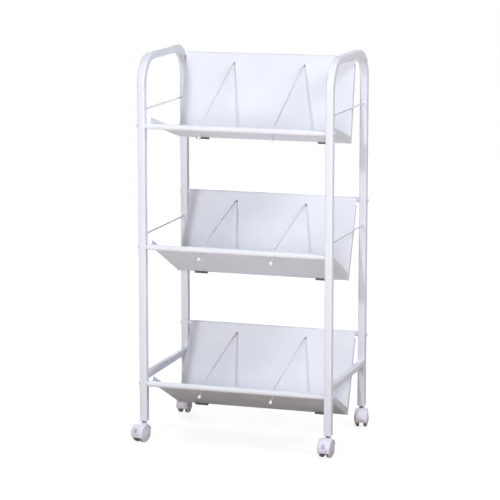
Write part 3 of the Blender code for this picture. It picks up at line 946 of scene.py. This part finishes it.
@dataclass(frozen=True)
class Trough:
    """One tilted trough: floor and back sheets on their rails, clips, wire dividers and bolts.

    cap_lip, bolt_chamfer, bolt_head_rim and hex_mouth are shares of the radius or height they cut.
    """

    tier: Tier
    floor_width: float = 0.446
    back_width: float = 0.440
    floor_flange: float = 0.017
    back_flange: float = 0.012
    back_spread: float = 0.004
    flange_setback: float = 0.018
    fold_radius: float = 0.0011
    flange_corner: float = 0.002
    sheet_edge: float = 0.00025
    roll_turn: float = 215.0
    rail_length: float = 0.4534
    rail_wall: float = 0.0012
    rail_plug: float = 0.014
    rail_chamfer: float = 0.0006
    clip_length: float = 0.034
    clip_offset: float = 0.159
    clip_wall: float = 0.0015
    clip_tab: float = 0.0034
    clip_tab_inset: float = 0.003
    clip_edge: float = 0.0004
    wire: float = 0.004
    wire_edge: float = 0.0003
    divider_x: float = 0.0915
    divider_drop: float = 0.029
    divider_inset: float = 0.018
    divider_bend: float = 0.008
    divider_leg: float = 0.004
    divider_tail: float = 0.0145
    foot: float = 0.0195
    foot_bend: float = 0.006
    foot_turn: float = math.radians(43)
    cap_radius: float = 0.0042
    cap_length: float = 0.0092
    cap_lip: float = 0.15
    grommet_radius: float = 0.0031
    grommet_lip: float = 0.0007
    bolt: float = 0.006
    bolt_grip: float = 0.011
    bolt_chamfer: float = 0.2
    bolt_head_radius: float = 0.0055
    bolt_head_height: float = 0.0032
    bolt_head_rim: float = 0.3
    hex_half: float = 0.0017
    hex_depth: float = 0.0015
    hex_mouth: float = 1.4

    @property
    def place(self) -> TroughPlace:
        """Where the trough hangs."""
        return PLAN.trough(self.tier)

    @property
    def floor_hole_y(self) -> float:
        """Y of the dividers' floor holes in the trough's frame."""
        return self.divider_inset - PLAN.floor_depth

    @property
    def back_hole_z(self) -> float:
        """Z of the dividers' holes in the back panel, in the trough's frame."""
        return PLAN.back_reach - self.divider_drop

    def build(self) -> None:
        """Builds and dresses every piece of the trough."""
        self.floor()
        self.back()
        self.rail(End.FRONT, -PLAN.floor_depth, -PLAN.roll)
        self.rail(End.REAR, PLAN.gap + PLAN.roll, PLAN.back_height)
        for side in Side:
            self.clip(side)
            self.divider(side)
            for end in End:
                self.bolt_in(side, end)

    def stops(self, width: float) -> list[float]:
        """Rows along X of a sheet of that width, with the clip tabs between them."""
        half = self.clip_length / 2 - self.clip_tab_inset
        middle = [side.value * self.clip_offset + sign * half for side in Side for sign in (-1, 1)]
        return [-width / 2, *middle, width / 2]

    def tabs(self, form: SheetForm, width: float, edge: Point, vector: Point) -> None:
        """Folds both clip tabs down from a sheet's lower edge.

        Args:
            form: The sheet.
            width: Its width.
            edge: (y, z) of that edge.
            vector: From the edge to the tab's end.
        """
        stops = self.stops(width)
        for low, high in (stops[1:3], stops[3:5]):
            form.fold((low, *edge), (high, *edge), vector)

    def floor(self) -> None:
        """Shelf floor, rolled over the front rail, with its ends turned up."""
        depth, roll, sheet = PLAN.floor_depth, PLAN.roll, PLAN.sheet
        width = self.floor_width - 2 * sheet
        front = self.flange_setback - depth
        profile = [(0, 0), (-sheet, 0), (front, 0), (front - sheet, 0)]
        profile += arc((-depth, -roll), (roll, roll), 90, 90 + self.roll_turn, ROLL_STEPS)
        form = SheetForm().run(profile, self.stops(width))
        flange = (0, 0, self.floor_flange)
        for x in (-width / 2, width / 2):
            form.fold((x, front, 0), (x, -sheet, 0), flange, self.fold_radius, self.flange_corner)
        self.tabs(form, width, (0, 0), (0, 0, -self.clip_tab))
        form.wall(sheet, lambda face: face.normal.z).put(self.place.matrix)
        form.piece(f"{self.tier.value}_shelf_floor", SHEET_COAT, edge=self.sheet_edge)

    def back(self) -> None:
        """Back panel, rolled over the rear rail, with its ends folded back."""
        gap, roll, sheet, height = PLAN.gap, PLAN.roll, PLAN.sheet, PLAN.back_height
        width, top = self.back_width, height - 2 * roll
        profile = [(gap, -sheet), (gap, 0), (gap, top), (gap, top + sheet)]
        profile += arc((gap + roll, height), (roll, roll), 180, 180 - self.roll_turn, ROLL_STEPS)
        form = SheetForm().run(profile, self.stops(width))
        flange = (0, self.back_flange, 0)
        for x in (-width / 2, width / 2):
            form.fold((x, gap, 0), (x, gap, top), flange, self.fold_radius, self.flange_corner)
        self.tabs(form, width, (gap, -sheet), (0, 0, sheet - self.clip_tab))
        self.spread_ends(form, top)
        form.wall(sheet, lambda face: -face.normal.y).put(self.place.matrix)
        form.piece(f"{self.tier.value}_back_panel", SHEET_COAT, edge=self.sheet_edge)

    def spread_ends(self, form: SheetForm, top: float) -> None:
        """Widens the back panel's ends downwards, to where they meet the floor's ends.

        Args:
            form: The panel.
            top: Height from which its ends stand straight.
        """
        reach = self.back_width / 2 - 2 * self.fold_radius
        for vert in form.bm.verts:
            if abs(vert.co.x) > reach and vert.co.z < top:
                share = min(1.0, 1 - vert.co.z / top)
                vert.co.x += math.copysign(self.back_spread * share, vert.co.x)

    def rail(self, end: End, y: float, z: float) -> None:
        """Rail tube that a sheet is rolled over.

        Args:
            end: Front or rear.
            y: Its axis in the trough's frame.
            z: Its axis in the trough's frame.
        """
        half, radius, cut = self.rail_length / 2, PLAN.rail / 2, self.rail_chamfer
        inside, bore, hole = half - self.rail_plug, radius - self.rail_wall, self.bolt / 2 + PLAN.gap
        right = [(half - cut, radius), (half, radius - cut), (half, hole), (inside, hole), (inside, bore)]
        place = self.place.matrix @ moved(0, y, z) @ ALONG_X
        form = Form().turned(mirrored(right), place, ring=True, steps=ROUND)
        form.piece(f"{self.tier.value}_{end.word}_rail", TUBE_COAT, solid=False)

    def clip(self, side: Side) -> None:
        """Corner clip, a channel pushed from below over the tabs of both sheets."""
        sheet, gap, wall = PLAN.sheet, PLAN.gap, self.clip_wall
        front, rear = -sheet - gap, 2 * gap + sheet
        bottom, top = -self.clip_tab - gap, -sheet - gap
        half = self.clip_length / 2
        section = [
            (front - wall, top), (front - wall, bottom - wall), (rear + wall, bottom - wall),
            (rear + wall, top), (rear, top), (rear, bottom), (front, bottom), (front, top),
        ]
        middle = self.place.matrix @ moved(side.value * self.clip_offset, 0, 0)
        form = Form().outline([(-half, y, z) for y, z in section], middle)
        form.straight((2 * half, 0, 0)).close()
        form.piece(f"{self.tier.value}_{side.word}_corner_clip", CLIP_PLASTIC, edge=self.clip_edge)

    def divider(self, side: Side) -> None:
        """Wire divider from the back panel's hole down through the floor, with caps, and grommets whose
        near-black colour paints the shade in the holes.
        """
        middle = self.place.matrix @ moved(side.value * self.divider_x, 0, 0)
        name = f"{self.tier.value}_{side.word}_divider"
        behind = 3 * PLAN.gap + PLAN.sheet
        first = Vector((0, -self.divider_leg, self.back_hole_z - self.divider_bend))
        second = Vector((0, self.floor_hole_y + self.divider_bend, self.divider_leg))
        run = second - first
        slope = math.atan2(-run.z, -run.y)
        knee = Vector((0, self.floor_hole_y - self.foot_bend, -self.divider_tail))
        down = Vector((0, -math.sin(self.foot_turn), -math.cos(self.foot_turn)))
        across = Vector((0, -down.z, down.y))
        start = behind + self.cap_length / 2
        form = Form().circle(self.wire / 2, moved(0, start, self.back_hole_z) @ ALONG_Y)
        form.straight((0, -self.divider_leg - start, 0))
        form.bend(first, (1, 0, 0), slope, WIRE_STEPS)
        form.straight(run)
        form.bend(second, (1, 0, 0), math.pi / 2 - slope, WIRE_STEPS)
        form.straight((0, 0, -self.divider_leg - self.divider_tail))
        form.bend(knee, (-1, 0, 0), self.foot_turn, WIRE_STEPS)
        form.straight((self.foot - self.cap_length / 2) * down).close().put(middle)
        form.piece(name, WIRE_COAT, edge=self.wire_edge)
        toe = knee + self.foot_bend * across + (self.foot - self.cap_length) * down
        foot = moved(*toe) @ down.to_track_quat("Z", "Y").to_matrix().to_4x4()
        caps = self.cap(Form(), middle @ foot)
        self.cap(caps, middle @ moved(0, behind, self.back_hole_z) @ ALONG_Y)
        caps.piece(f"{name}_caps", CAP_PLASTIC, solid=False)
        # Painted shade: the grommets' near-black stands for the shade in the wire holes
        rings = self.grommet(Form(), middle @ moved(0, self.floor_hole_y, 0), self.grommet_lip)
        self.grommet(rings, middle @ moved(0, PLAN.gap, self.back_hole_z) @ TO_FRONT, PLAN.gap)
        rings.piece(f"{name}_grommets", GROMMET_SHADE, solid=False)

    def cap(self, form: Form, place: Matrix) -> Form:
        """Adds a round-ended push-on cap.

        Args:
            form: Form that gets it.
            place: Its place, with its axis along +Z.

        Returns:
            The form.
        """
        radius, length = self.cap_radius, self.cap_length
        lip = radius * self.cap_lip
        profile = [(0, 0), (0, radius - lip), (lip, radius)]
        profile += arc((length - radius, 0), (radius, radius), 90, 0, DOME_STEPS)[:-1]
        return form.turned([*profile, (length, 0)], place)

    def grommet(self, form: Form, place: Matrix, behind: float) -> Form:
        """Adds a ring round the wire on both sides of a sheet.

        Args:
            form: Form that gets it.
            place: Its place, with the sheet's front face at Z 0.
            behind: Thickness of its lip behind the sheet.

        Returns:
            The form.
        """
        inner, outer, lip = self.wire / 2, self.grommet_radius, self.grommet_lip
        back = -PLAN.sheet - behind
        soft = lip / 2
        profile = [(back, inner), (back, outer - soft), (back + soft, outer)]
        profile += arc((lip - soft, outer - soft), (soft, soft), 90, 0, EDGE_STEPS)
        return form.turned([*profile, (lip, inner)], place, ring=True)

    def bolt_in(self, side: Side, end: End) -> None:
        """Domed bolt with a hexagon socket, through a post into a rail.

        Args:
            side: Side of the trolley.
            end: Front or rear rail.
        """
        radius, head, height = self.bolt / 2, self.bolt_head_radius, self.bolt_head_height
        tip = -2 * PLAN.gap - PLAN.tube - self.bolt_grip
        mouth, cut, rim = self.hex_half * self.hex_mouth, radius * self.bolt_chamfer, self.bolt_head_rim
        profile = [(tip, 0), (tip, radius - cut), (tip + cut, radius), (0, radius), (0, head - cut)]
        profile += [(cut / 2, head)]
        profile += arc((height * rim, mouth), (height * (1 - rim), head - mouth), 90, 0, DOME_STEPS)
        form = Form().turned(profile, Matrix()).straight((0, 0, 0))
        for vert in form.front_verts():
            turn = (math.atan2(vert.co.y, vert.co.x) + math.pi / 6) % (math.pi / 3) - math.pi / 6
            vert.co.xy = vert.co.xy.normalized() * (self.hex_half / math.cos(turn))
        form.straight((0, 0, -self.hex_depth)).close()
        seat_x = side.value * (PLAN.post_x + PLAN.tube / 2 + PLAN.gap)
        axis = self.place.front if end is End.FRONT else self.place.rear
        form.put(moved(seat_x, *axis) @ Matrix.Rotation(side.value * math.pi / 2, 4, "Y"))
        form.piece(f"{self.tier.value}_{end.word}_{side.word}_bolt", BOLT_COAT)


@dataclass(frozen=True)
class Caster:
    """One twin-wheel swivel caster with its socket, and a brake pedal in front.

    The yaw turns the swivel, in radians. Other angles are in degrees above the front, about the axle.
    """

    end: End
    side: Side
    yaw: float
    cut: float = 0.0005
    wheel_radius: float = 0.022
    wheel_width: float = 0.0095
    wheel_play: float = 0.0005
    wheel_cover: float = 0.003
    tread_edge: float = 0.0012
    disc_depth: float = 0.0048
    disc_gap: float = 0.0002
    disc_shoulder: float = 0.0042
    disc_shoulder_start: float = 86.0
    disc_rim: tuple[Pair, ...] = ((0.0, 0.0005), (0.0004, 0.0001))
    disc_face: tuple[Pair, ...] = (
        (0.0016, 0.0150), (0.0019, 0.0132), (0.0016, 0.0125), (0.0018, 0.0101),
        (0.0026, 0.0095), (0.0034, 0.0055), (0.0037, 0.0022), (0.0037, 0.0),
    )
    web: float = 0.010
    hub_wall: float = 0.0052
    trail: float = 0.014
    axle: float = 0.006
    well_radius: float = 0.023
    hood_radius: float = 0.025
    hood_wall: float = 0.002
    hood_half: float = 0.0165
    hood_step: float = 5.0
    hood_edge: float = 0.0004
    shoulder: Pair = (0.0062, 0.0044)
    hood_front: float = -16.5
    hood_rear: float = 161.0
    slot_low: float = 2.5
    slot_high: float = 41.5
    slot_half: float = 0.0033
    hood_top: float = 0.048
    boss_radius: float = 0.0075
    boss_edge: float = 0.0008
    stem: float = 0.008
    stem_seat: float = 0.012
    stem_length: float = 0.034
    collar_radius: float = 0.0052
    collar_height: float = 0.0022
    neck_show: float = 0.0015
    socket_flange: float = 0.0015
    socket_length: float = 0.016
    socket_edge: float = 0.0005
    pedal_half: float = 0.008
    pedal_thickness: float = 0.0022
    pedal_span: Pair = (-14.0, 40.0)
    pedal_edge: float = 0.0004
    neck_half: float = 0.003
    neck_lift: float = 0.00065
    neck_span: Pair = (4.0, 20.0)
    ridge_angles: tuple[float, ...] = (12.0, 18.0, 24.0, 30.0)
    ridge_turn: float = 3.6
    ridge_half: float = 0.0034
    ridge_rise: float = 0.0006
    ridge_edge: float = 0.0002

    @property
    def label(self) -> str:
        """Common start of the piece names."""
        return f"{self.end.word}_{self.side.word}"

    @property
    def swivel_body(self) -> str:
        """Body that turns under the post."""
        return f"{self.label}_caster"

    @property
    def spot(self) -> Matrix:
        """The post's axis on the floor."""
        return moved(self.side.value * PLAN.post_x, PLAN.post_y(self.end), 0)

    @property
    def place(self) -> Matrix:
        """The swivel's frame."""
        return self.spot @ Matrix.Rotation(self.yaw, 4, "Z")

    @property
    def axle_spot(self) -> Matrix:
        """The axle's place in the swivel's frame."""
        return moved(0, -self.trail, self.wheel_radius)

    @property
    def hub(self) -> Matrix:
        """The axle's frame."""
        return self.place @ self.axle_spot

    @property
    def axle_hole(self) -> float:
        """Radius of the holes that the axle runs in."""
        return self.axle / 2 + PLAN.gap

    def build(self) -> None:
        """Builds and dresses every piece of the caster."""
        self.socket()
        self.stem_piece()
        self.hood()
        self.axle_piece()
        for hand in Side:
            self.wheel(hand)
        if self.end is End.FRONT:
            self.pedal()

    def socket(self) -> None:
        """Plastic insert in the post's end."""
        seat = PLAN.post_end - PLAN.gap
        inside = PLAN.tube - 2 * PLAN.tube_wall - 2 * PLAN.gap
        start = self.spot @ moved(0, 0, seat - self.socket_flange)
        form = Form().square(PLAN.tube, PLAN.tube_corner, start)
        form.straight((0, 0, self.socket_flange))
        form.straight((0, 0, 0)).resize(inside / PLAN.tube, self.spot @ Vector((0, 0, seat)))
        form.straight((0, 0, self.socket_length)).close()
        form.piece(f"{self.label}_caster_socket", CAP_PLASTIC, edge=self.socket_edge)

    def stem_piece(self) -> None:
        """Stem with the collar that carries the post."""
        radius, collar, cut = self.stem / 2, self.collar_radius, self.cut
        bottom, low = self.hood_top - self.stem_seat, self.hood_top - self.neck_show + PLAN.gap
        high = self.hood_top + PLAN.gap + self.collar_height
        top = high + self.stem_length
        profile = [(bottom, 0), (bottom, radius), (low, radius), (low, collar - cut), (low + cut, collar)]
        profile += [(high - cut, collar), (high, collar - cut), (high, radius)]
        profile += [(top - 2 * cut, radius), (top, radius - 2 * cut), (top, 0)]
        form = Form().turned(profile, self.place)
        form.piece(f"{self.label}_caster_stem", DARK_PLATING, self.swivel_body)

    def hood_line(self) -> list[Pair]:
        """Outer line of the hood across its width, as (x, radius) points."""
        wide, drop = self.shoulder
        half, radius = self.hood_half, self.hood_radius
        end = arc((half - wide, radius - drop), (wide, drop), 90, 0, SHOULDER_STEPS)
        return mirrored([(self.slot_half, radius), *end])

    def hood(self) -> None:
        """Hood over both wheels, with the web between them and the stem's boss."""
        form = Form().line([(x, -radius, 0) for x, radius in self.hood_line()])
        form.put(Matrix.Rotation(math.radians(-self.hood_front), 4, "X"))
        angles = (self.hood_front, self.slot_low, self.slot_high, self.hood_rear)
        for low, high in zip(angles, angles[1:]):
            steps = max(EDGE_STEPS, round((high - low) / self.hood_step))
            form.bend((0, 0, 0), (-1, 0, 0), math.radians(high - low), steps)
        if self.end is End.FRONT:
            form.bm.normal_update()
            slot = [face for face in form.bm.faces if self.in_slot(face.calc_center_median())]
            bmesh.ops.delete(form.bm, geom=slot, context="FACES")
        form.wall(self.hood_wall, lambda face: face.normal.dot(face.calc_center_median()))
        form.put(self.axle_spot)
        self.core(form)
        self.boss(form)
        form.put(self.place)
        form.piece(f"{self.label}_caster_hood", PALE_SHELL, self.swivel_body, self.hood_edge)

    def in_slot(self, point: Vector) -> bool:
        """Whether a point of the hood, in the axle's frame, lies in the pedal's slot."""
        angle = math.degrees(math.atan2(point.z, -point.y))
        return abs(point.x) < self.slot_half and self.slot_low < angle < self.slot_high

    def core(self, form: Form) -> None:
        """Adds the web between the wheels and its hub to the hood, in the swivel's frame."""
        half, inner = self.web / 2, self.axle_hole
        radii = (inner, self.well_radius + self.hood_wall / 4)
        self.plate(form, self.axle_spot, half, radii, (self.hood_front, self.hood_rear), WEB_STEPS)
        hub = mirrored([(half, inner + self.hub_wall), (half, inner)])
        form.turned(hub, self.axle_spot @ ALONG_X, ring=True)

    def boss(self, form: Form) -> None:
        """Adds the boss for the stem, its foot trimmed to the hood, in the swivel's frame."""
        low, top = self.wheel_radius, self.hood_top - self.neck_show
        soft, seat = self.boss_edge, self.stem / 2 + PLAN.gap
        profile = [(low, seat), (low, self.boss_radius)]
        profile += arc((top - soft, self.boss_radius - soft), (soft, soft), 90, 0, EDGE_STEPS)
        before = set(form.bm.verts)
        form.turned([*profile, (top, seat)], Matrix(), ring=True, steps=ROUND)
        middle = self.hood_radius - self.hood_wall / 2
        for vert in form.bm.verts:
            if vert not in before and vert.co.z < low + MERGE:
                vert.co.z = self.wheel_radius + math.sqrt(middle**2 - (vert.co.y + self.trail) ** 2)

    def axle_piece(self) -> None:
        """Axle of both wheels."""
        half = self.web / 2 + self.wheel_play + self.wheel_width - self.wheel_cover - PLAN.gap
        radius, cut = self.axle / 2, self.cut
        profile = mirrored([(half - cut, radius), (half, radius - cut), (half, 0)])
        form = Form().turned(profile, self.hub @ ALONG_X)
        form.piece(f"{self.label}_caster_axle", DARK_PLATING, self.swivel_body)

    def wheel(self, hand: Side) -> None:
        """Wheel: its tread, and the domed disc with a ring and a hub that closes its outer side."""
        body = f"{self.label}_{hand.word}_wheel"
        name = f"{self.label}_caster_{hand.word}_wheel"
        face = moved(hand.value * (self.web / 2 + self.wheel_play), 0, 0)
        turn = Matrix.Rotation(0 if hand is Side.RIGHT else math.pi, 4, "Z")
        place = self.hub @ face @ turn @ ALONG_X
        radius, width, hole, edge = self.wheel_radius, self.wheel_width, self.axle_hole, self.tread_edge
        seam = width - self.disc_depth
        tread = [(0, hole), (0, radius - edge)]
        tread += arc((edge, radius - edge), (edge, edge), 90, 180, EDGE_STEPS)[-2::-1]
        tread += [(seam - self.cut, radius), (seam, radius - self.cut), (seam, hole)]
        Form().turned(tread, place, ring=True, steps=ROUND).piece(name, TREAD_PLASTIC, body)
        blind, start, soft = width - self.wheel_cover, seam + self.disc_gap, self.disc_shoulder
        disc = [(blind, 0), (blind, hole), (start, hole)]
        disc += [(start + along, radius - inset) for along, inset in self.disc_rim]
        disc += arc((width - soft, radius - soft), (soft, soft), self.disc_shoulder_start, 0, DOME_STEPS)
        disc += [(width + out, size) for out, size in self.disc_face]
        Form().turned(disc, place, steps=ROUND).piece(f"{name}_disc", DISC_PLASTIC, body, solid=False)

    def pedal(self) -> None:
        """Brake pedal over the hood's front, with grip ridges whose dark colour is painted shade, and the
        neck that runs in the slot.
        """
        body, thick = f"{self.label}_brake", self.pedal_thickness
        inner = self.hood_radius + PLAN.gap
        outer = inner + thick
        neck = (self.hood_radius - self.hood_wall + self.neck_lift, outer - thick / 2)
        form = Form()
        self.plate(form, self.hub, self.pedal_half, (inner, outer), self.pedal_span, PEDAL_STEPS)
        self.plate(form, self.hub, self.neck_half, neck, self.neck_span, EDGE_STEPS)
        form.piece(f"{self.label}_brake_pedal", PEDAL_SHELL, body, self.pedal_edge)
        # The ridges are real relief; their dark colour is painted shade
        grip = Form()
        ridge = (outer - thick / 4, outer + self.ridge_rise)
        for angle in self.ridge_angles:
            span = (angle, angle + self.ridge_turn)
            self.plate(grip, self.hub, self.ridge_half, ridge, span, steps=2)
        grip.piece(f"{self.label}_brake_grip", GRIP_PAINTED_SHADE, body, self.ridge_edge, solid=False)

    @staticmethod
    def plate(form: Form, hub: Matrix, half: float, radii: Pair, span: Pair, steps: int) -> None:
        """Adds a curved plate about the axle.

        Args:
            form: Form that gets it.
            hub: The axle's frame.
            half: Half its width.
            radii: Its inner and outer radius.
            span: Its first and last angle.
            steps: Steps round the curve.
        """
        inner, outer = radii
        corners = [(-half, -outer, 0), (half, -outer, 0), (half, -inner, 0), (-half, -inner, 0)]
        form.outline(corners, hub @ Matrix.Rotation(math.radians(-span[0]), 4, "X"))
        axis = (hub.to_3x3() @ Vector((-1, 0, 0))).normalized()
        form.bend(hub.translation, axis, math.radians(span[1] - span[0]), steps).close()


@dataclass(frozen=True)
class Lamp:
    """One soft box: where it stands, its width, its power in watts and where it aims."""

    name: str
    position: Triple
    width: float
    power: float
    aim: Triple = (0.0, 0.0, 0.5)

    def light(self) -> None:
        """Hangs the lamp."""
        data = bpy.data.lights.new(self.name, "AREA")
        data.shape = "DISK"
        data.size = self.width
        data.energy = self.power
        item = new_object(self.name, data)
        item.location = self.position
        run = Vector(self.aim) - Vector(self.position)
        item.rotation_euler = run.to_track_quat("-Z", "Y").to_euler()


@dataclass(frozen=True)
class Studio:
    """Plain white room: pale floor, soft boxes, an even sky and the camera; the floor's colour for bounced
    light paints a dark, warm shade round the trolley.
    """

    azimuth: float = math.radians(17.7999)
    elevation: float = math.radians(10.333)
    distance: float = 5.695233
    target: Triple = (-0.0065808, 0.0, 0.4686061)
    lens: float = 165.8222
    sensor: float = 36.0
    clip_end: float = 60.0
    floor_radius: float = 5.0
    floor_sides: int = 96
    floor_roughness: float = 0.85
    floor_glow: Pair = (0.855, 1.0)
    glow_reach: Pair = (0.5, 1.5)
    floor_pale: Triple = (0.17, 0.17, 0.171)
    floor_shade: float = 0.98
    floor_tone_scale: float = 1.5
    # Painted shade: the floor's colour for bounced light, dark and warm round the middle, pale beyond the
    # reach
    floor_near: Triple = (0.10, 0.052, 0.028)
    floor_far: Triple = (1.0, 0.90, 0.825)
    bounce_middle: Triple = (0.0, 0.17, 0.0)
    bounce_reach: Pair = (0.22, 1.1)
    sky: float = 0.03
    sky_colour: Triple = (0.97, 0.98, 1.0)
    black: Triple = (0.0, 0.0, 0.0)
    white: Triple = (1.0, 1.0, 1.0)
    lamps: tuple[Lamp, ...] = (
        Lamp("key_box", (-0.47, -2.66, 1.82), 0.2, 27.5),
        Lamp("front_low_box", (0.55, -2.91, 0.92), 1.0, 31.0),
        Lamp("side_box", (2.08, -0.56, 2.58), 1.0, 36.0),
        Lamp("top_box", (0.0, -0.2, 3.4), 1.2, 14.0),
        Lamp("rear_box", (-1.6, 2.2, 1.8), 1.4, 30.0),
    )

    def build(self) -> None:
        """Sets up the room."""
        self.floor()
        self.surround()
        for lamp in self.lamps:
            lamp.light()
        self.camera()
        bpy.context.scene.view_settings.view_transform = "Standard"
        LOG.info("studio is set")

    @staticmethod
    def seen(nodes: Nodes) -> NodeSocket:
        """Adds a value that is 1 for what the camera, a reflection or glass sees.

        Args:
            nodes: Nodes that get it.

        Returns:
            The value.
        """
        path = nodes.add("ShaderNodeLightPath", {})
        direct = nodes.maths("MAXIMUM", path["Is Camera Ray"], path["Is Glossy Ray"])
        return nodes.maths("MAXIMUM", direct, path["Is Transmission Ray"])

    def floor(self) -> None:
        """Lays the floor, white to the camera but for the object's shadow."""
        bm = bmesh.new()
        bmesh.ops.create_circle(bm, cap_ends=True, segments=self.floor_sides, radius=self.floor_radius)
        mesh = bpy.data.meshes.new("floor")
        bm.to_mesh(mesh)
        bm.free()
        mesh.materials.append(self.floor_material())
        new_object("floor", mesh)

    def floor_material(self) -> Material:
        """Builds the floor's material, with one colour for what is seen and one for what bounces; the one
        for what bounces paints a dark, warm shade round the trolley and turns pale farther out.

        Returns:
            The material.
        """
        made, nodes, paint = new_material("studio_floor")
        where = nodes.where()

        def fade(reach: Pair, values: Pair, middle: Triple = (0.0, 0.0, 0.0)) -> NodeSocket:
            """Adds a value that changes with the distance from a middle."""
            away = nodes.add("ShaderNodeVectorMath", {0: where, 1: middle}, operation="DISTANCE")
            return nodes.span(away["Value"], reach, values)

        shade = tuple(self.floor_shade * part for part in self.floor_pale)
        tones = {"Light": opaque(self.floor_pale), "Shade": opaque(shade)}
        tone = nodes.place(tone_drift(), Vector=where, Scale=self.floor_tone_scale, **tones)
        shown = nodes.mix(fade(self.glow_reach, (0.0, 1.0)), tone["Color"], opaque(self.black))
        # Painted shade under the trolley: bounced light comes off a dark, warm floor near it and a pale one
        # farther out
        away = fade(self.bounce_reach, (0.0, 1.0), self.bounce_middle)
        bounce_with_painted_shade = nodes.mix(away, opaque(self.floor_near), opaque(self.floor_far))
        seen = self.seen(nodes)
        surface = {
            "Base Color": nodes.mix(seen, bounce_with_painted_shade, shown),
            "Roughness": self.floor_roughness,
            "Emission Color": fade(self.glow_reach, self.floor_glow),
            "Emission Strength": seen,
        }
        nodes.feed(paint, surface)
        return made

    def surround(self) -> None:
        """Sets the sky: white where it is seen, dimmer where it lights."""
        world = bpy.data.worlds.new("studio")
        world.use_nodes = True
        nodes = Nodes(world.node_tree)
        dim = {"Color": opaque(self.sky_colour), "Strength": self.sky}
        light = nodes.feed(world.node_tree.nodes["Background"], dim).outputs
        white = nodes.add("ShaderNodeBackground", {"Color": opaque(self.white)})
        mixed = nodes.add("ShaderNodeMixShader", {0: self.seen(nodes), 1: light[0], 2: white[0]})
        nodes.feed(world.node_tree.nodes["World Output"], {"Surface": mixed[0]})
        bpy.context.scene.world = world

    def camera(self) -> None:
        """Places the camera at the photograph's viewing angle."""
        data = bpy.data.cameras.new("camera")
        data.lens = self.lens
        data.sensor_width = self.sensor
        data.clip_end = self.clip_end
        level = math.cos(self.elevation)
        across, along = math.sin(self.azimuth) * level, -math.cos(self.azimuth) * level
        back = Vector((across, along, math.sin(self.elevation)))
        item = new_object("camera", data)
        item.location = Vector(self.target) + self.distance * back
        item.rotation_euler = (-back).to_track_quat("-Z", "Y").to_euler()
        bpy.context.scene.camera = item


CASTER_YAW = {
    (End.FRONT, Side.LEFT): math.radians(-14),
    (End.FRONT, Side.RIGHT): math.radians(-3),
    (End.REAR, Side.LEFT): math.radians(4),
    (End.REAR, Side.RIGHT): math.radians(14),
}


def main() -> None:
    """Builds the studio and every sub-assembly."""
    logging.basicConfig(level=logging.INFO, format="%(name)s: %(message)s")
    Studio().build()
    for side in Side:
        SideFrame(side).build()
    for tier in Tier:
        Trough(tier).build()
    for (end, side), yaw in CASTER_YAW.items():
        Caster(end, side, yaw).build()


if __name__ == "__main__":
    main()
